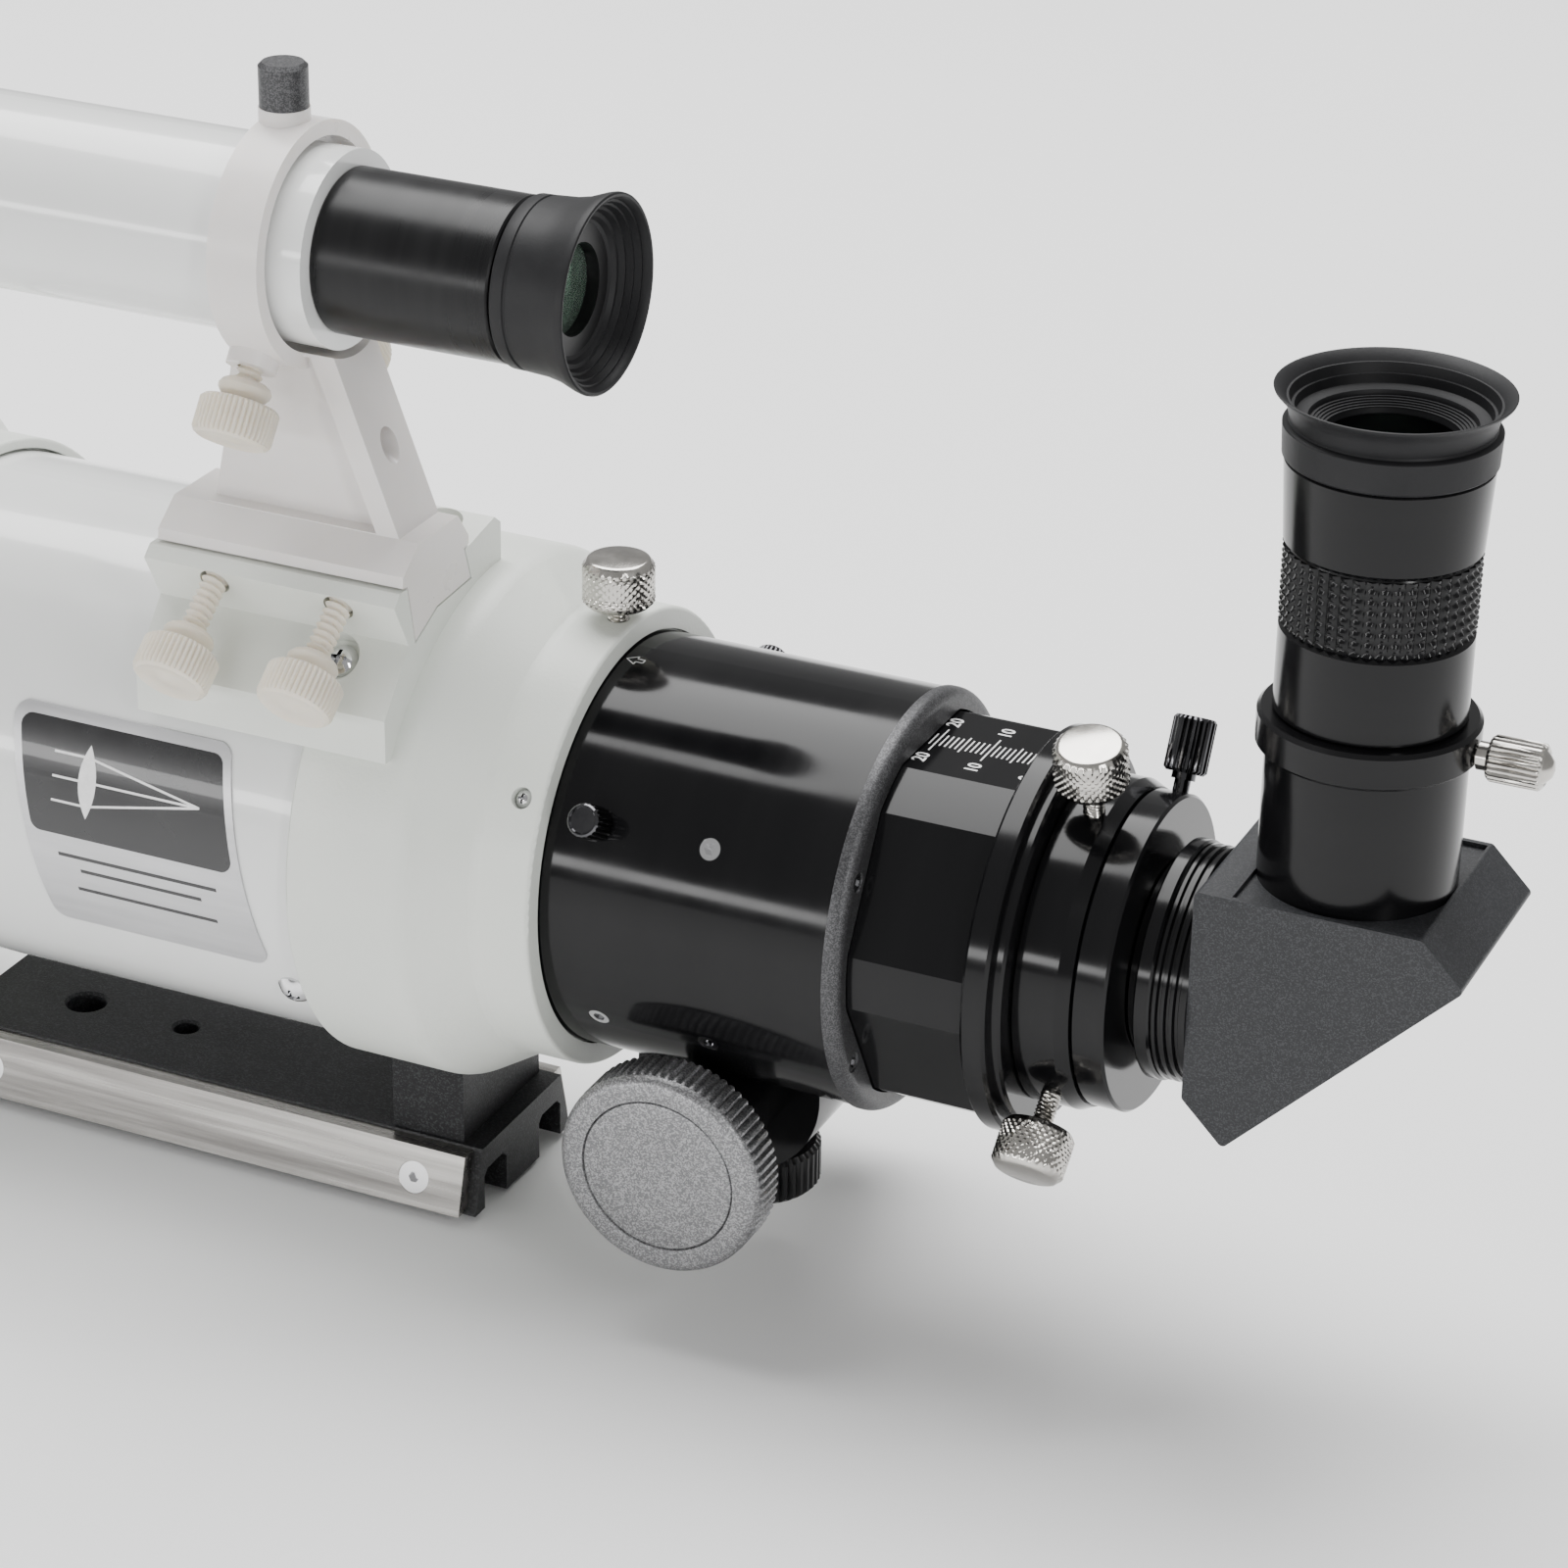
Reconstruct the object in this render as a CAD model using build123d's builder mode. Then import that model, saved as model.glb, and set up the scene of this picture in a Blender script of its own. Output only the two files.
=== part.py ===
from build123d import *
import math
import os

os.makedirs("parts", exist_ok=True)

# ---------------------------------------------------------------- driving dimensions (mm)
AXIS_Z = 79.5            # height of the optical axis above the rail's underside
TUBE_R = 48.7            # main tube, outside
TUBE_WALL = 1.8
TUBE_FRONT = -67.0
TUBE_REAR = 40.0
ADAPTER_R = 51.0         # rear casting, outside
COLLAR_R = 43.7          # small end of the rear casting
COLLAR_REAR = 85.6
SHIELD_R = 60.0          # lens housing and dew shield, outside
SHIELD_FRONT = -253.0
LENS_R = 52.0            # objective, 102 mm clear
RAIL_HALF = 61.0         # half length of the dovetail rail
RAIL_TOP = 13.9
BODY_R = 39.1            # focuser body, outside
BODY_BORE = 36.4
BODY_REAR = 141.4
DRAW_R = 35.3            # hexagonal drawtube, over the rounded corners
DRAW_FLAT = 32.8         # centre to flat
DRAW_BORE = 30.6
DRAW_FRONT = 41.7
DRAW_REAR = 166.7
TWO_INCH = 25.4          # radius of a 2 inch barrel
SMALL = 15.87            # radius of a 1.25 inch barrel
PINION_X = 112.3
PINION_Z = 36.8
MODULE = 0.8
TEETH = 14
PITCH_R = MODULE * TEETH / 2
EYE_X = 225.0            # vertical axis of the eyepiece
FINDER_Y = -23.5
FINDER_Z = 194.65

# ---------------------------------------------------------------- shared helpers
ALONG_X = (1, 0, 0)
ALONG_Y = (0, 1, 0)
ALONG_Z = (0, 0, 1)
ON_AXIS = (0, 0, AXIS_Z)
OPTICAL = Axis(ON_AXIS, ALONG_X)


def lathe_plane(origin, direction):
    """Plane whose first axis runs along the turning axis and whose second is the radius."""
    normal = (0, -1, 0) if abs(direction[0]) > 0.9 else (1, 0, 0)
    return Plane(origin=origin, x_dir=direction, z_dir=normal)


def outline(plane, points):
    """Closed straight-sided face on a plane."""
    with BuildSketch(plane) as face:
        with BuildLine():
            Polyline(*points, close=True)
        make_face()
    return face.sketch


def turn(origin, direction, points, mode=Mode.ADD):
    """Add or cut a turned shape: points are (distance along the axis, radius)."""
    face = outline(lathe_plane(origin, direction), points)
    revolve(face, axis=Axis(origin, direction), mode=mode)


def rod(origin, direction, start, end, radius, mode=Mode.ADD):
    """Plain round bar or hole along an axis."""
    turn(origin, direction, [(start, 0), (end, 0), (end, radius), (start, radius)], mode)


def outward(angle):
    """Unit vector square to the optical axis: 0 is up, positive towards the observer's left."""
    a = math.radians(angle)
    return (0, -math.sin(a), math.cos(a))


def station(x):
    """Point on the optical axis."""
    return (x, 0, AXIS_Z)


def block(x0, x1, y0, y1, z0, z1, mode=Mode.ADD):
    """Square block between two corners."""
    face = outline(Plane.XY.offset(z0), [(x0, y0), (x1, y0), (x1, y1), (x0, y1)])
    extrude(face, amount=z1 - z0, mode=mode)


def section_x(x0, x1, points, mode=Mode.ADD):
    """Shape with a constant section across X, given as (y, z) points."""
    plane = Plane(origin=(x0, 0, 0), x_dir=ALONG_Y, z_dir=ALONG_X)
    extrude(outline(plane, points), amount=x1 - x0, mode=mode)


def section_y(y0, y1, points, mode=Mode.ADD):
    """Shape with a constant section across Y, given as (x, z) points."""
    plane = Plane(origin=(0, y1, 0), x_dir=ALONG_X, z_dir=(0, -1, 0))
    extrude(outline(plane, points), amount=y1 - y0, mode=mode)


def lens(origin, direction, front, front_bow, rear, rear_bow, radius):
    """Lens turned between two spherical faces; a face bows forwards (-) or rearwards (+)."""
    def middle(edge_at, bow):
        if bow == 0:
            return edge_at, edge_at
        sphere = (radius * radius + bow * bow) / (2 * abs(bow))
        sag = sphere - math.sqrt(sphere * sphere - radius * radius / 4)
        vertex = edge_at + bow
        return vertex, vertex - math.copysign(sag, bow)
    front_vertex, front_mid = middle(front, front_bow)
    rear_vertex, rear_mid = middle(rear, rear_bow)
    with BuildSketch(lathe_plane(origin, direction)) as face:
        with BuildLine():
            Line((front_vertex, 0), (rear_vertex, 0))
            if rear_bow:
                ThreePointArc((rear_vertex, 0), (rear_mid, radius / 2), (rear, radius))
            else:
                Line((rear_vertex, 0), (rear, radius))
            Line((rear, radius), (front, radius))
            if front_bow:
                ThreePointArc((front, radius), (front_mid, radius / 2), (front_vertex, 0))
            else:
                Line((front, radius), (front_vertex, 0))
        make_face()
    revolve(face.sketch, axis=Axis(origin, direction))


def rims(part, along, at, radius):
    """Circular edges of one radius at one station along an axis name."""
    found = []
    for edge in part.edges().filter_by(GeomType.CIRCLE):
        centre = edge.arc_center
        place = {"x": centre.X, "y": centre.Y, "z": centre.Z}[along]
        if abs(place - at) < 0.05 and abs(edge.radius - radius) < 0.05:
            found.append(edge)
    return found


def hex_socket(origin, direction, depth, across):
    """Cut a hexagonal key socket, running inwards from the origin against the direction."""
    plane = Plane(origin=origin, x_dir=lathe_plane(origin, direction).z_dir, z_dir=direction)
    with BuildSketch(plane) as socket:
        RegularPolygon(across / 2, 6, major_radius=False)
    extrude(socket.sketch, amount=-depth, mode=Mode.SUBTRACT)


def save(builder, name):
    """Label a finished piece and write it."""
    builder.part.label = name
    export_step(builder.part, "parts/" + name + ".step")


# ================================================================ optical tube, fixed pieces
SCREW_X = 36.5
TUBE_SCREW_ANGLES = (119, -1, -121)
TUBE_BORE = TUBE_R - TUBE_WALL

with BuildPart() as main_tube:
    turn(ON_AXIS, ALONG_X, [(TUBE_FRONT, TUBE_BORE), (TUBE_REAR, TUBE_BORE),
                            (TUBE_REAR, TUBE_R), (TUBE_FRONT, TUBE_R)])
    for angle in TUBE_SCREW_ANGLES:
        rod(station(SCREW_X), outward(angle), 40, 52, 1.6, Mode.SUBTRACT)
save(main_tube, "main_tube")

with BuildPart() as front_casting:
    turn(ON_AXIS, ALONG_X, [
        (-55, 49.3), (-55, 51.3), (-74, 51.3), (-84, SHIELD_R), (-86, SHIELD_R),
        (-86, 58), (-97, 58), (-97, 54), (-78, 46), (TUBE_FRONT, 46),
        (TUBE_FRONT, TUBE_R), (-58, TUBE_R), (-58, 49.3)])
    fillet(rims(front_casting.part, "x", -84, SHIELD_R), 3)
    fillet(rims(front_casting.part, "x", -74, 51.3), 4)
    fillet(rims(front_casting.part, "x", -55, 51.3), 0.8)
save(front_casting, "front_casting")

with BuildPart() as dew_shield:
    turn(ON_AXIS, ALONG_X, [
        (-86, 58), (-86, SHIELD_R), (-247, SHIELD_R), (-247, 61), (SHIELD_FRONT, 61),
        (SHIELD_FRONT, 57.4), (-250, 57.4), (-250, 58)])
    fillet(rims(dew_shield.part, "x", SHIELD_FRONT, 61), 1.2)
save(dew_shield, "dew_shield")

with BuildPart() as objective_cell:
    turn(ON_AXIS, ALONG_X, [
        (-205, LENS_R + 0.2), (-205, 58), (-176, 58), (-176, 51), (-179, 51),
        (-179, LENS_R + 0.2)])
save(objective_cell, "objective_cell")

# air-spaced doublet, both elements with spherical faces
with BuildPart() as crown_lens:
    lens(ON_AXIS, ALONG_X, -193, -4.9, -188, 6.2, LENS_R)
save(crown_lens, "crown_lens")

with BuildPart() as flint_lens:
    lens(ON_AXIS, ALONG_X, -187.3, 6.1, -179.1, 1.6, LENS_R)
save(flint_lens, "flint_lens")

with BuildPart() as retaining_ring:
    turn(ON_AXIS, ALONG_X, [
        (-193, LENS_R + 0.2), (-193, LENS_R), (-193.4, 50.8), (-198, 50.8),
        (-198, LENS_R + 0.2)])
save(retaining_ring, "retaining_ring")

with BuildPart() as tube_baffles:
    for x, hole in ((-25, 38), (12, 35)):
        turn(ON_AXIS, ALONG_X, [
            (x, hole), (x + 1, hole), (x + 1, 45.9), (x + 7, 45.9),
            (x + 7, TUBE_BORE), (x, TUBE_BORE)])
save(tube_baffles, "tube_baffles")

COLLAR_SCREW_X = 81.3
COLLAR_SCREW_ANGLES = (58, 178, -62)
COLLAR_THUMB_X = 82.0
FOOT_X0 = 41.0
FOOT_X1 = 56.5
FOOT_BOLT_X = 48.75
FOOT_BOLT_Y = 11.3
SHOE_SCREWS = ((45.0, 41.0, 56.0), (49.0, 6.8, 54.0))

with BuildPart() as rear_adapter:
    turn(ON_AXIS, ALONG_X, [
        (28, TUBE_BORE), (TUBE_REAR, TUBE_BORE), (TUBE_REAR, ADAPTER_R), (62.5, ADAPTER_R),
        (74.5, COLLAR_R), (COLLAR_REAR, COLLAR_R), (COLLAR_REAR, 39.55), (84.2, 39.55),
        (84.2, 38.25), (70, 38.25), (70, 41.9), (60, 43.9), (28, 43.9)])
    fillet(rims(rear_adapter.part, "x", 62.5, ADAPTER_R), 7)
    fillet(rims(rear_adapter.part, "x", 74.5, COLLAR_R), 3)
    fillet(rims(rear_adapter.part, "x", COLLAR_REAR, COLLAR_R), 0.8)
    fillet(rims(rear_adapter.part, "x", TUBE_REAR, ADAPTER_R), 0.5)
    for angle in TUBE_SCREW_ANGLES:
        rod(station(SCREW_X), outward(angle), 40, 50, 1.5, Mode.SUBTRACT)
    for angle in COLLAR_SCREW_ANGLES:
        rod(station(COLLAR_SCREW_X), outward(angle), 36, 45, 1.2, Mode.SUBTRACT)
        rod(station(COLLAR_SCREW_X), outward(angle), 41.7, 45, 2.0, Mode.SUBTRACT)
    rod(station(COLLAR_THUMB_X), outward(0), 36, 46, 2.05, Mode.SUBTRACT)
    for y in (-FOOT_BOLT_Y, FOOT_BOLT_Y):
        rod((FOOT_BOLT_X, y, 0), ALONG_Z, 25, 36, 2.5, Mode.SUBTRACT)
    for x, angle, seat in SHOE_SCREWS:
        rod(station(x), outward(angle), 46, 53, 1.5, Mode.SUBTRACT)
save(rear_adapter, "rear_adapter")

with BuildPart() as chrome_screws:
    for angle in TUBE_SCREW_ANGLES:
        turn(station(SCREW_X), outward(angle), [
            (44.2, 0), (44.2, 1.5), (TUBE_R, 1.5), (TUBE_R, 3.2), (49.4, 3.2),
            (50.3, 2.4), (50.7, 1.2), (50.75, 0)])
    for x, angle, seat in SHOE_SCREWS:
        turn(station(x), outward(angle), [
            (46.2, 0), (46.2, 1.5), (seat, 1.5), (seat, 3.2), (seat + 0.7, 3.2),
            (seat + 1.6, 2.4), (seat + 2, 1.2), (seat + 2.05, 0)])
save(chrome_screws, "chrome_screws")

with BuildPart() as collar_screws:
    for angle in COLLAR_SCREW_ANGLES:
        turn(station(COLLAR_SCREW_X), outward(angle), [
            (39, 0), (39, 1.2), (41.7, 1.2), (41.7, 1.95), (43.2, 1.95), (43.5, 1.5), (43.6, 0)])
save(collar_screws, "collar_screws")

PLATE_MID = 86.2
with BuildPart() as nameplate:
    turn(ON_AXIS, ALONG_X, [(-40, TUBE_R), (50, TUBE_R), (50, TUBE_R + 0.4), (-40, TUBE_R + 0.4)])
    with BuildSketch(Plane(origin=station(0), x_dir=ALONG_X, z_dir=outward(PLATE_MID))):
        with BuildLine():
            Polyline((-13, -21.3), (33.5, -21.3), (25, 21.3), (-21.5, 21.3), close=True)
        make_face()
        fillet(vertices(), 3)
    extrude(amount=60, mode=Mode.INTERSECT)
save(nameplate, "nameplate")

# ---------------------------------------------------------------- dovetail rail and its foot
FLANK = (19.75 - 16.3) / (RAIL_TOP - 0.6)


def flank_y(z):
    """Half width of the rail's sloping side at a height."""
    return 16.3 + (RAIL_TOP - z) * FLANK


INLAY_T = 3.4
INLAY_SCREW_X = (-48.5, 48.5)
INLAY_SCREW_Z = 7.2
LEAN = math.atan(FLANK)


def inlay_axis(side):
    """Direction square to the rail's sloping side, pointing out."""
    return (0, side * math.cos(LEAN), math.sin(LEAN))


def inlay_face(x, side):
    """Point on an inlay's outer face at a screw."""
    return (x, side * (flank_y(INLAY_SCREW_Z) + INLAY_T), INLAY_SCREW_Z)


with BuildPart() as dovetail_rail:
    section_x(-RAIL_HALF, RAIL_HALF, [
        (-16.3, RAIL_TOP), (16.3, RAIL_TOP), (19.75, 0.6), (15.8, 0.6), (15.8, 7.6),
        (14.5, 8.9), (8.1, 8.9), (6.8, 7.6), (6.8, 0), (-6.8, 0), (-6.8, 7.6),
        (-8.1, 8.9), (-14.5, 8.9), (-15.8, 7.6), (-15.8, 0.6), (-19.75, 0.6)])
    rod((-39, 0, 0), ALONG_Z, -1, 15, 4.0, Mode.SUBTRACT)
    rod((-15.4, 0, 0), ALONG_Z, -1, 15, 2.55, Mode.SUBTRACT)
    chamfer(rims(dovetail_rail.part, "z", RAIL_TOP, 4.0), 0.5)
    chamfer(rims(dovetail_rail.part, "z", RAIL_TOP, 2.55), 0.5)
    for y in (-FOOT_BOLT_Y, FOOT_BOLT_Y):
        rod((FOOT_BOLT_X, y, 0), ALONG_Z, 8, 15, 2.5, Mode.SUBTRACT)
        rod((FOOT_BOLT_X, y, 0), ALONG_Z, 6, 8.9, 4.3, Mode.SUBTRACT)
    for side in (-1, 1):
        for x in INLAY_SCREW_X:
            rod(inlay_face(x, side), inlay_axis(side), -5.2, 0, 1.5, Mode.SUBTRACT)
save(dovetail_rail, "dovetail_rail")

with BuildPart() as rail_inlays:
    for side in (-1, 1):
        section_x(-59, 59, [
            (side * flank_y(13.4), 13.4), (side * (flank_y(13.4) + INLAY_T), 13.4),
            (side * (flank_y(1.6) + INLAY_T), 1.6), (side * flank_y(1.6), 1.6)])
        for x in INLAY_SCREW_X:
            turn(inlay_face(x, side), inlay_axis(side), [
                (0.2, 0), (0.2, 3.3), (0, 3.3), (-1.8, 1.5), (-5, 1.5), (-5, 0)], Mode.SUBTRACT)
save(rail_inlays, "rail_inlays")

with BuildPart() as inlay_screws:
    for side in (-1, 1):
        for x in INLAY_SCREW_X:
            turn(inlay_face(x, side), inlay_axis(side), [
                (-0.1, 0), (-0.1, 3.2), (-1.8, 1.5), (-5.2, 1.5), (-5.2, 0)])
            hex_socket(tuple(a - 0.1 * b for a, b in zip(inlay_face(x, side), inlay_axis(side))),
                       inlay_axis(side), 1.2, 2.0)
save(inlay_screws, "inlay_screws")

with BuildPart() as rear_foot:
    block(FOOT_X0, FOOT_X1, -15.5, 15.5, RAIL_TOP, 36)
    rod(ON_AXIS, ALONG_X, 30, 70, ADAPTER_R, Mode.SUBTRACT)
    for y in (-FOOT_BOLT_Y, FOOT_BOLT_Y):
        rod((FOOT_BOLT_X, y, 0), ALONG_Z, 10, 40, 2.5, Mode.SUBTRACT)
save(rear_foot, "rear_foot")

with BuildPart() as foot_bolts:
    for y in (-FOOT_BOLT_Y, FOOT_BOLT_Y):
        turn((FOOT_BOLT_X, y, 0), ALONG_Z, [
            (4.1, 0), (4.1, 4.2), (8.9, 4.2), (8.9, 2.5), (35.5, 2.5), (35.5, 0)])
        hex_socket((FOOT_BOLT_X, y, 4.1), (0, 0, -1), 2.5, 4.0)
save(foot_bolts, "foot_bolts")

# ---------------------------------------------------------------- finder shoe
SHOE_X0 = 6.5
SHOE_X1 = 58.0
SHOE_TOP = AXIS_Z + 58.4
SLOT = ((-35.4, 58.4), (-32.9, 46.8), (-24.5, 50.6), (-11.6, 51.4), (-13.9, 57.9))
CLAMP_AXIS = (0, -0.791, -0.611)
CLAMP_X = (20.3, 45.8)


def clamp_point(x):
    """Where a shoe thumbscrew's axis leaves the near jaw."""
    return (x, -41.0, AXIS_Z + 52.0)


with BuildPart() as finder_shoe:
    section_x(SHOE_X0, SHOE_X1, [(y, AXIS_Z + z) for y, z in (
        (-44.6, 28), (-44.6, 36.3), (-35.3, 47.4), (-40.2, 56.4), (-38, 58.4), *SLOT,
        (-2.8, 60.2), (-0.4, 58.4), (-0.4, 28))])
    rod(ON_AXIS, ALONG_X, 0, 70, ADAPTER_R, Mode.SUBTRACT)
    for x in CLAMP_X:
        rod(clamp_point(x), CLAMP_AXIS, -6.7, 8, 2.9, Mode.SUBTRACT)
    for x, angle, seat in SHOE_SCREWS:
        rod(station(x), outward(angle), 50, 80, 1.5, Mode.SUBTRACT)
        rod(station(x), outward(angle), seat, 80, 4.3, Mode.SUBTRACT)
save(finder_shoe, "finder_shoe")


def knurled_thumb(origin, direction, tip, seat, head, top, shank_r, head_r, neck_r):
    """Thumbscrew: threaded shank, short neck, round head with a raised crown."""
    turn(origin, direction, [
        (tip, 0), (tip, shank_r - 0.4), (tip + 0.5, shank_r), (seat, shank_r), (seat, neck_r),
        (head, neck_r), (head, head_r - 0.6), (head + 0.6, head_r), (top - 0.9, head_r),
        (top - 0.3, head_r - 0.6), (top - 0.3, head_r - 1.6), (top, head_r - 2.0), (top, 0)])


with BuildPart() as shoe_thumbscrew_front:
    knurled_thumb(clamp_point(CLAMP_X[0]), CLAMP_AXIS, -6.5, 9.0, 11.6, 18.6, 2.85, 7.4, 4.6)
save(shoe_thumbscrew_front, "shoe_thumbscrew_front")

with BuildPart() as shoe_thumbscrew_rear:
    knurled_thumb(clamp_point(CLAMP_X[1]), CLAMP_AXIS, -6.5, 9.0, 11.6, 18.6, 2.85, 7.4, 4.6)
save(shoe_thumbscrew_rear, "shoe_thumbscrew_rear")

with BuildPart() as collar_thumbscrew:
    knurled_thumb(station(COLLAR_THUMB_X), outward(0), 38.7, 45.2, 46.8, 55.8, 2.0, 6.8, 3.0)
save(collar_thumbscrew, "collar_thumbscrew")

# ================================================================ focuser body, turns in the collar
LOCK_X = 95.0
GUIDE_X = 117.0
GUIDE_ANGLES = (60, 120, -60, -120)
SET_SCREWS = ((GUIDE_X, 60), (GUIDE_X, -60), (LOCK_X, 120), (LOCK_X, -120),
              (GUIDE_X, 120), (GUIDE_X, -120))


def hexagon_face(x, corner_r, flat):
    """Round tube section with six flats, one facing up."""
    plane = Plane(origin=station(x), x_dir=ALONG_Y, z_dir=ALONG_X)
    with BuildSketch(plane) as face:
        Circle(corner_r)
        RegularPolygon(flat, 6, major_radius=False, mode=Mode.INTERSECT)
    return face.sketch


with BuildPart() as focuser_body:
    turn(ON_AXIS, ALONG_X, [
        (64, 36.6), (64, 37.8), (69.6, 37.8), (69.6, 38.2), (84.5, 38.2), (84.5, BODY_R),
        (BODY_REAR, BODY_R), (BODY_REAR, 31), (138.4, 31), (138.4, BODY_BORE),
        (84, BODY_BORE), (84, 36.6)])
    extrude(hexagon_face(138, DRAW_R + 0.35, DRAW_FLAT + 0.35), amount=5, mode=Mode.SUBTRACT)
    block(60, 84.5, -4.8, 4.8, AXIS_Z - 39, AXIS_Z - 30, Mode.SUBTRACT)
    block(84.5, 145, -4.8, 4.8, AXIS_Z - 38.1, AXIS_Z - 30, Mode.SUBTRACT)
    block(PINION_X - 7.6, PINION_X + 7.6, -6.2, 6.2, 36, AXIS_Z - 30, Mode.SUBTRACT)
    for x, angle in SET_SCREWS:
        rod(station(x), outward(angle), 35, 41, 2.0, Mode.SUBTRACT)
    for angle in (60, -60):
        rod(station(LOCK_X), outward(angle), 35, 41, 2.05, Mode.SUBTRACT)
    for angle in GUIDE_ANGLES:
        a = math.radians(angle)
        rod((0, -36 * math.sin(a), AXIS_Z + 36 * math.cos(a)), ALONG_X, 138, 142, 1.2, Mode.SUBTRACT)
save(focuser_body, "focuser_body")

with BuildPart() as focuser_retainer:
    turn(ON_AXIS, ALONG_X, [(65, 37.8), (65, 41.2), (69.6, 41.2), (69.6, 37.8)])
    block(60, 72, -4.8, 4.8, AXIS_Z - 38.4, AXIS_Z - 30, Mode.SUBTRACT)
save(focuser_retainer, "focuser_retainer")

RING_REAR = 144.5
with BuildPart() as end_ring:
    turn(ON_AXIS, ALONG_X, [(BODY_REAR, 30), (BODY_REAR, 39.5), (RING_REAR, 39.5), (RING_REAR, 30)])
    fillet(rims(end_ring.part, "x", RING_REAR, 39.5), 2.3)
    extrude(hexagon_face(BODY_REAR - 1, DRAW_R + 0.35, DRAW_FLAT + 0.35), amount=6,
            mode=Mode.SUBTRACT)
    block(140, 146, -4.8, 4.8, AXIS_Z - 38.1, AXIS_Z - 30, Mode.SUBTRACT)
    for angle in GUIDE_ANGLES:
        a = math.radians(angle)
        centre = (0, -36 * math.sin(a), AXIS_Z + 36 * math.cos(a))
        rod(centre, ALONG_X, 140, 146, 1.2, Mode.SUBTRACT)
        rod(centre, ALONG_X, 142.7, 146, 1.9, Mode.SUBTRACT)
save(end_ring, "end_ring")

with BuildPart() as end_ring_screws:
    for angle in GUIDE_ANGLES:
        a = math.radians(angle)
        centre = (0, -36 * math.sin(a), AXIS_Z + 36 * math.cos(a))
        turn(centre, ALONG_X, [
            (138.2, 0), (138.2, 1.2), (142.7, 1.2), (142.7, 1.85), (144.3, 1.85), (144.3, 0)])
        hex_socket((144.3, centre[1], centre[2]), ALONG_X, 1.0, 1.8)
save(end_ring_screws, "end_ring_screws")

with BuildPart() as guide_pads:
    for angle in GUIDE_ANGLES:
        plane = Plane(origin=station(86), x_dir=outward(angle), z_dir=ALONG_X)
        extrude(outline(plane, [(DRAW_FLAT + 0.05, -7.4), (35.6, -7.4), (35.6, 7.4),
                                (DRAW_FLAT + 0.05, 7.4)]), amount=52)
save(guide_pads, "guide_pads")

with BuildPart() as guide_set_screws:
    for x, angle in SET_SCREWS:
        tip = 35.6
        turn(station(x), outward(angle), [
            (tip, 0), (tip, 1.4), (tip + 0.5, 2.0), (BODY_R - 0.1, 2.0), (BODY_R - 0.1, 0)])
        d = outward(angle)
        face = (x, d[1] * (BODY_R - 0.1), AXIS_Z + d[2] * (BODY_R - 0.1))
        hex_socket(face, d, 1.5, 2.0)
save(guide_set_screws, "guide_set_screws")

HOUSING_Z = 41.5
with BuildPart() as pinion_housing:
    rod((PINION_X, 0, HOUSING_Z), ALONG_Y, -15, 15, 18.6)
    for side in (-1, 1):
        rod((PINION_X, 0, PINION_Z), (0, side, 0), 14, 31.5, 8.5)
    rod(ON_AXIS, ALONG_X, 80, 142, BODY_R, Mode.SUBTRACT)
    rod((PINION_X, 0, PINION_Z), ALONG_Y, -6.2, 6.2, 7.4, Mode.SUBTRACT)
    block(PINION_X - 7.4, PINION_X + 7.4, -6.2, 6.2, PINION_Z, 45, Mode.SUBTRACT)
    rod((PINION_X, 0, PINION_Z), ALONG_Y, -40, 40, 3.05, Mode.SUBTRACT)
    rod((PINION_X, 0, 0), ALONG_Z, 20, 34, 3.05, Mode.SUBTRACT)
save(pinion_housing, "pinion_housing")

with BuildPart() as lock_thumbscrew_near:
    turn(station(LOCK_X), outward(60), [
        (35.75, 0), (35.75, 1.6), (36.2, 2.0), (39.5, 2.0), (39.5, 3.1), (39.9, 3.4),
        (46.1, 3.4), (46.6, 2.9), (46.6, 0)])
save(lock_thumbscrew_near, "lock_thumbscrew_near")

with BuildPart() as lock_thumbscrew_far:
    turn(station(LOCK_X), outward(-60), [
        (35.75, 0), (35.75, 1.6), (36.2, 2.0), (39.5, 2.0), (39.5, 3.1), (39.9, 3.4),
        (46.1, 3.4), (46.6, 2.9), (46.6, 0)])
save(lock_thumbscrew_far, "lock_thumbscrew_far")

with BuildPart() as tension_knob:
    turn((PINION_X, 0, 0), ALONG_Z, [
        (13, 0), (13, 10.8), (13.8, 11.6), (21.2, 11.6), (22, 10.8), (22, 3.0),
        (28.9, 3.0), (28.9, 0)])
save(tension_knob, "tension_knob")

# ================================================================ pinion, shaft and focus knobs
PRESSURE = math.radians(20)


def involute_point(base_r, r, offset):
    """Point on an involute flank at radius r, turned by an offset angle."""
    roll = math.acos(min(1.0, base_r / r))
    spread = math.tan(roll) - roll
    return (r * math.sin(offset - spread), r * math.cos(offset - spread))


def gear_points():
    """Outline of the pinion, one tooth gap centred on straight up."""
    base_r = PITCH_R * math.cos(PRESSURE)
    tip_r = PITCH_R + MODULE
    root_r = PITCH_R - 1.15 * MODULE
    half_tooth = math.pi / (2 * TEETH) - 0.11 / PITCH_R
    lean = math.tan(PRESSURE) - PRESSURE
    points = []
    for tooth in range(TEETH):
        middle = (tooth + 0.5) * 2 * math.pi / TEETH
        radii = [base_r, (base_r + PITCH_R) / 2, PITCH_R, PITCH_R + MODULE / 2, tip_r]
        flank = [involute_point(base_r, r, half_tooth + lean) for r in radii]
        foot = (root_r * math.sin(half_tooth + lean), root_r * math.cos(half_tooth + lean))
        right = [foot] + flank
        left = [(-px, py) for px, py in reversed(right)]
        for px, py in left[::-1] + right[::-1]:
            c, s = math.cos(middle), math.sin(middle)
            points.append((px * c + py * s, py * c - px * s))
    return points


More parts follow.
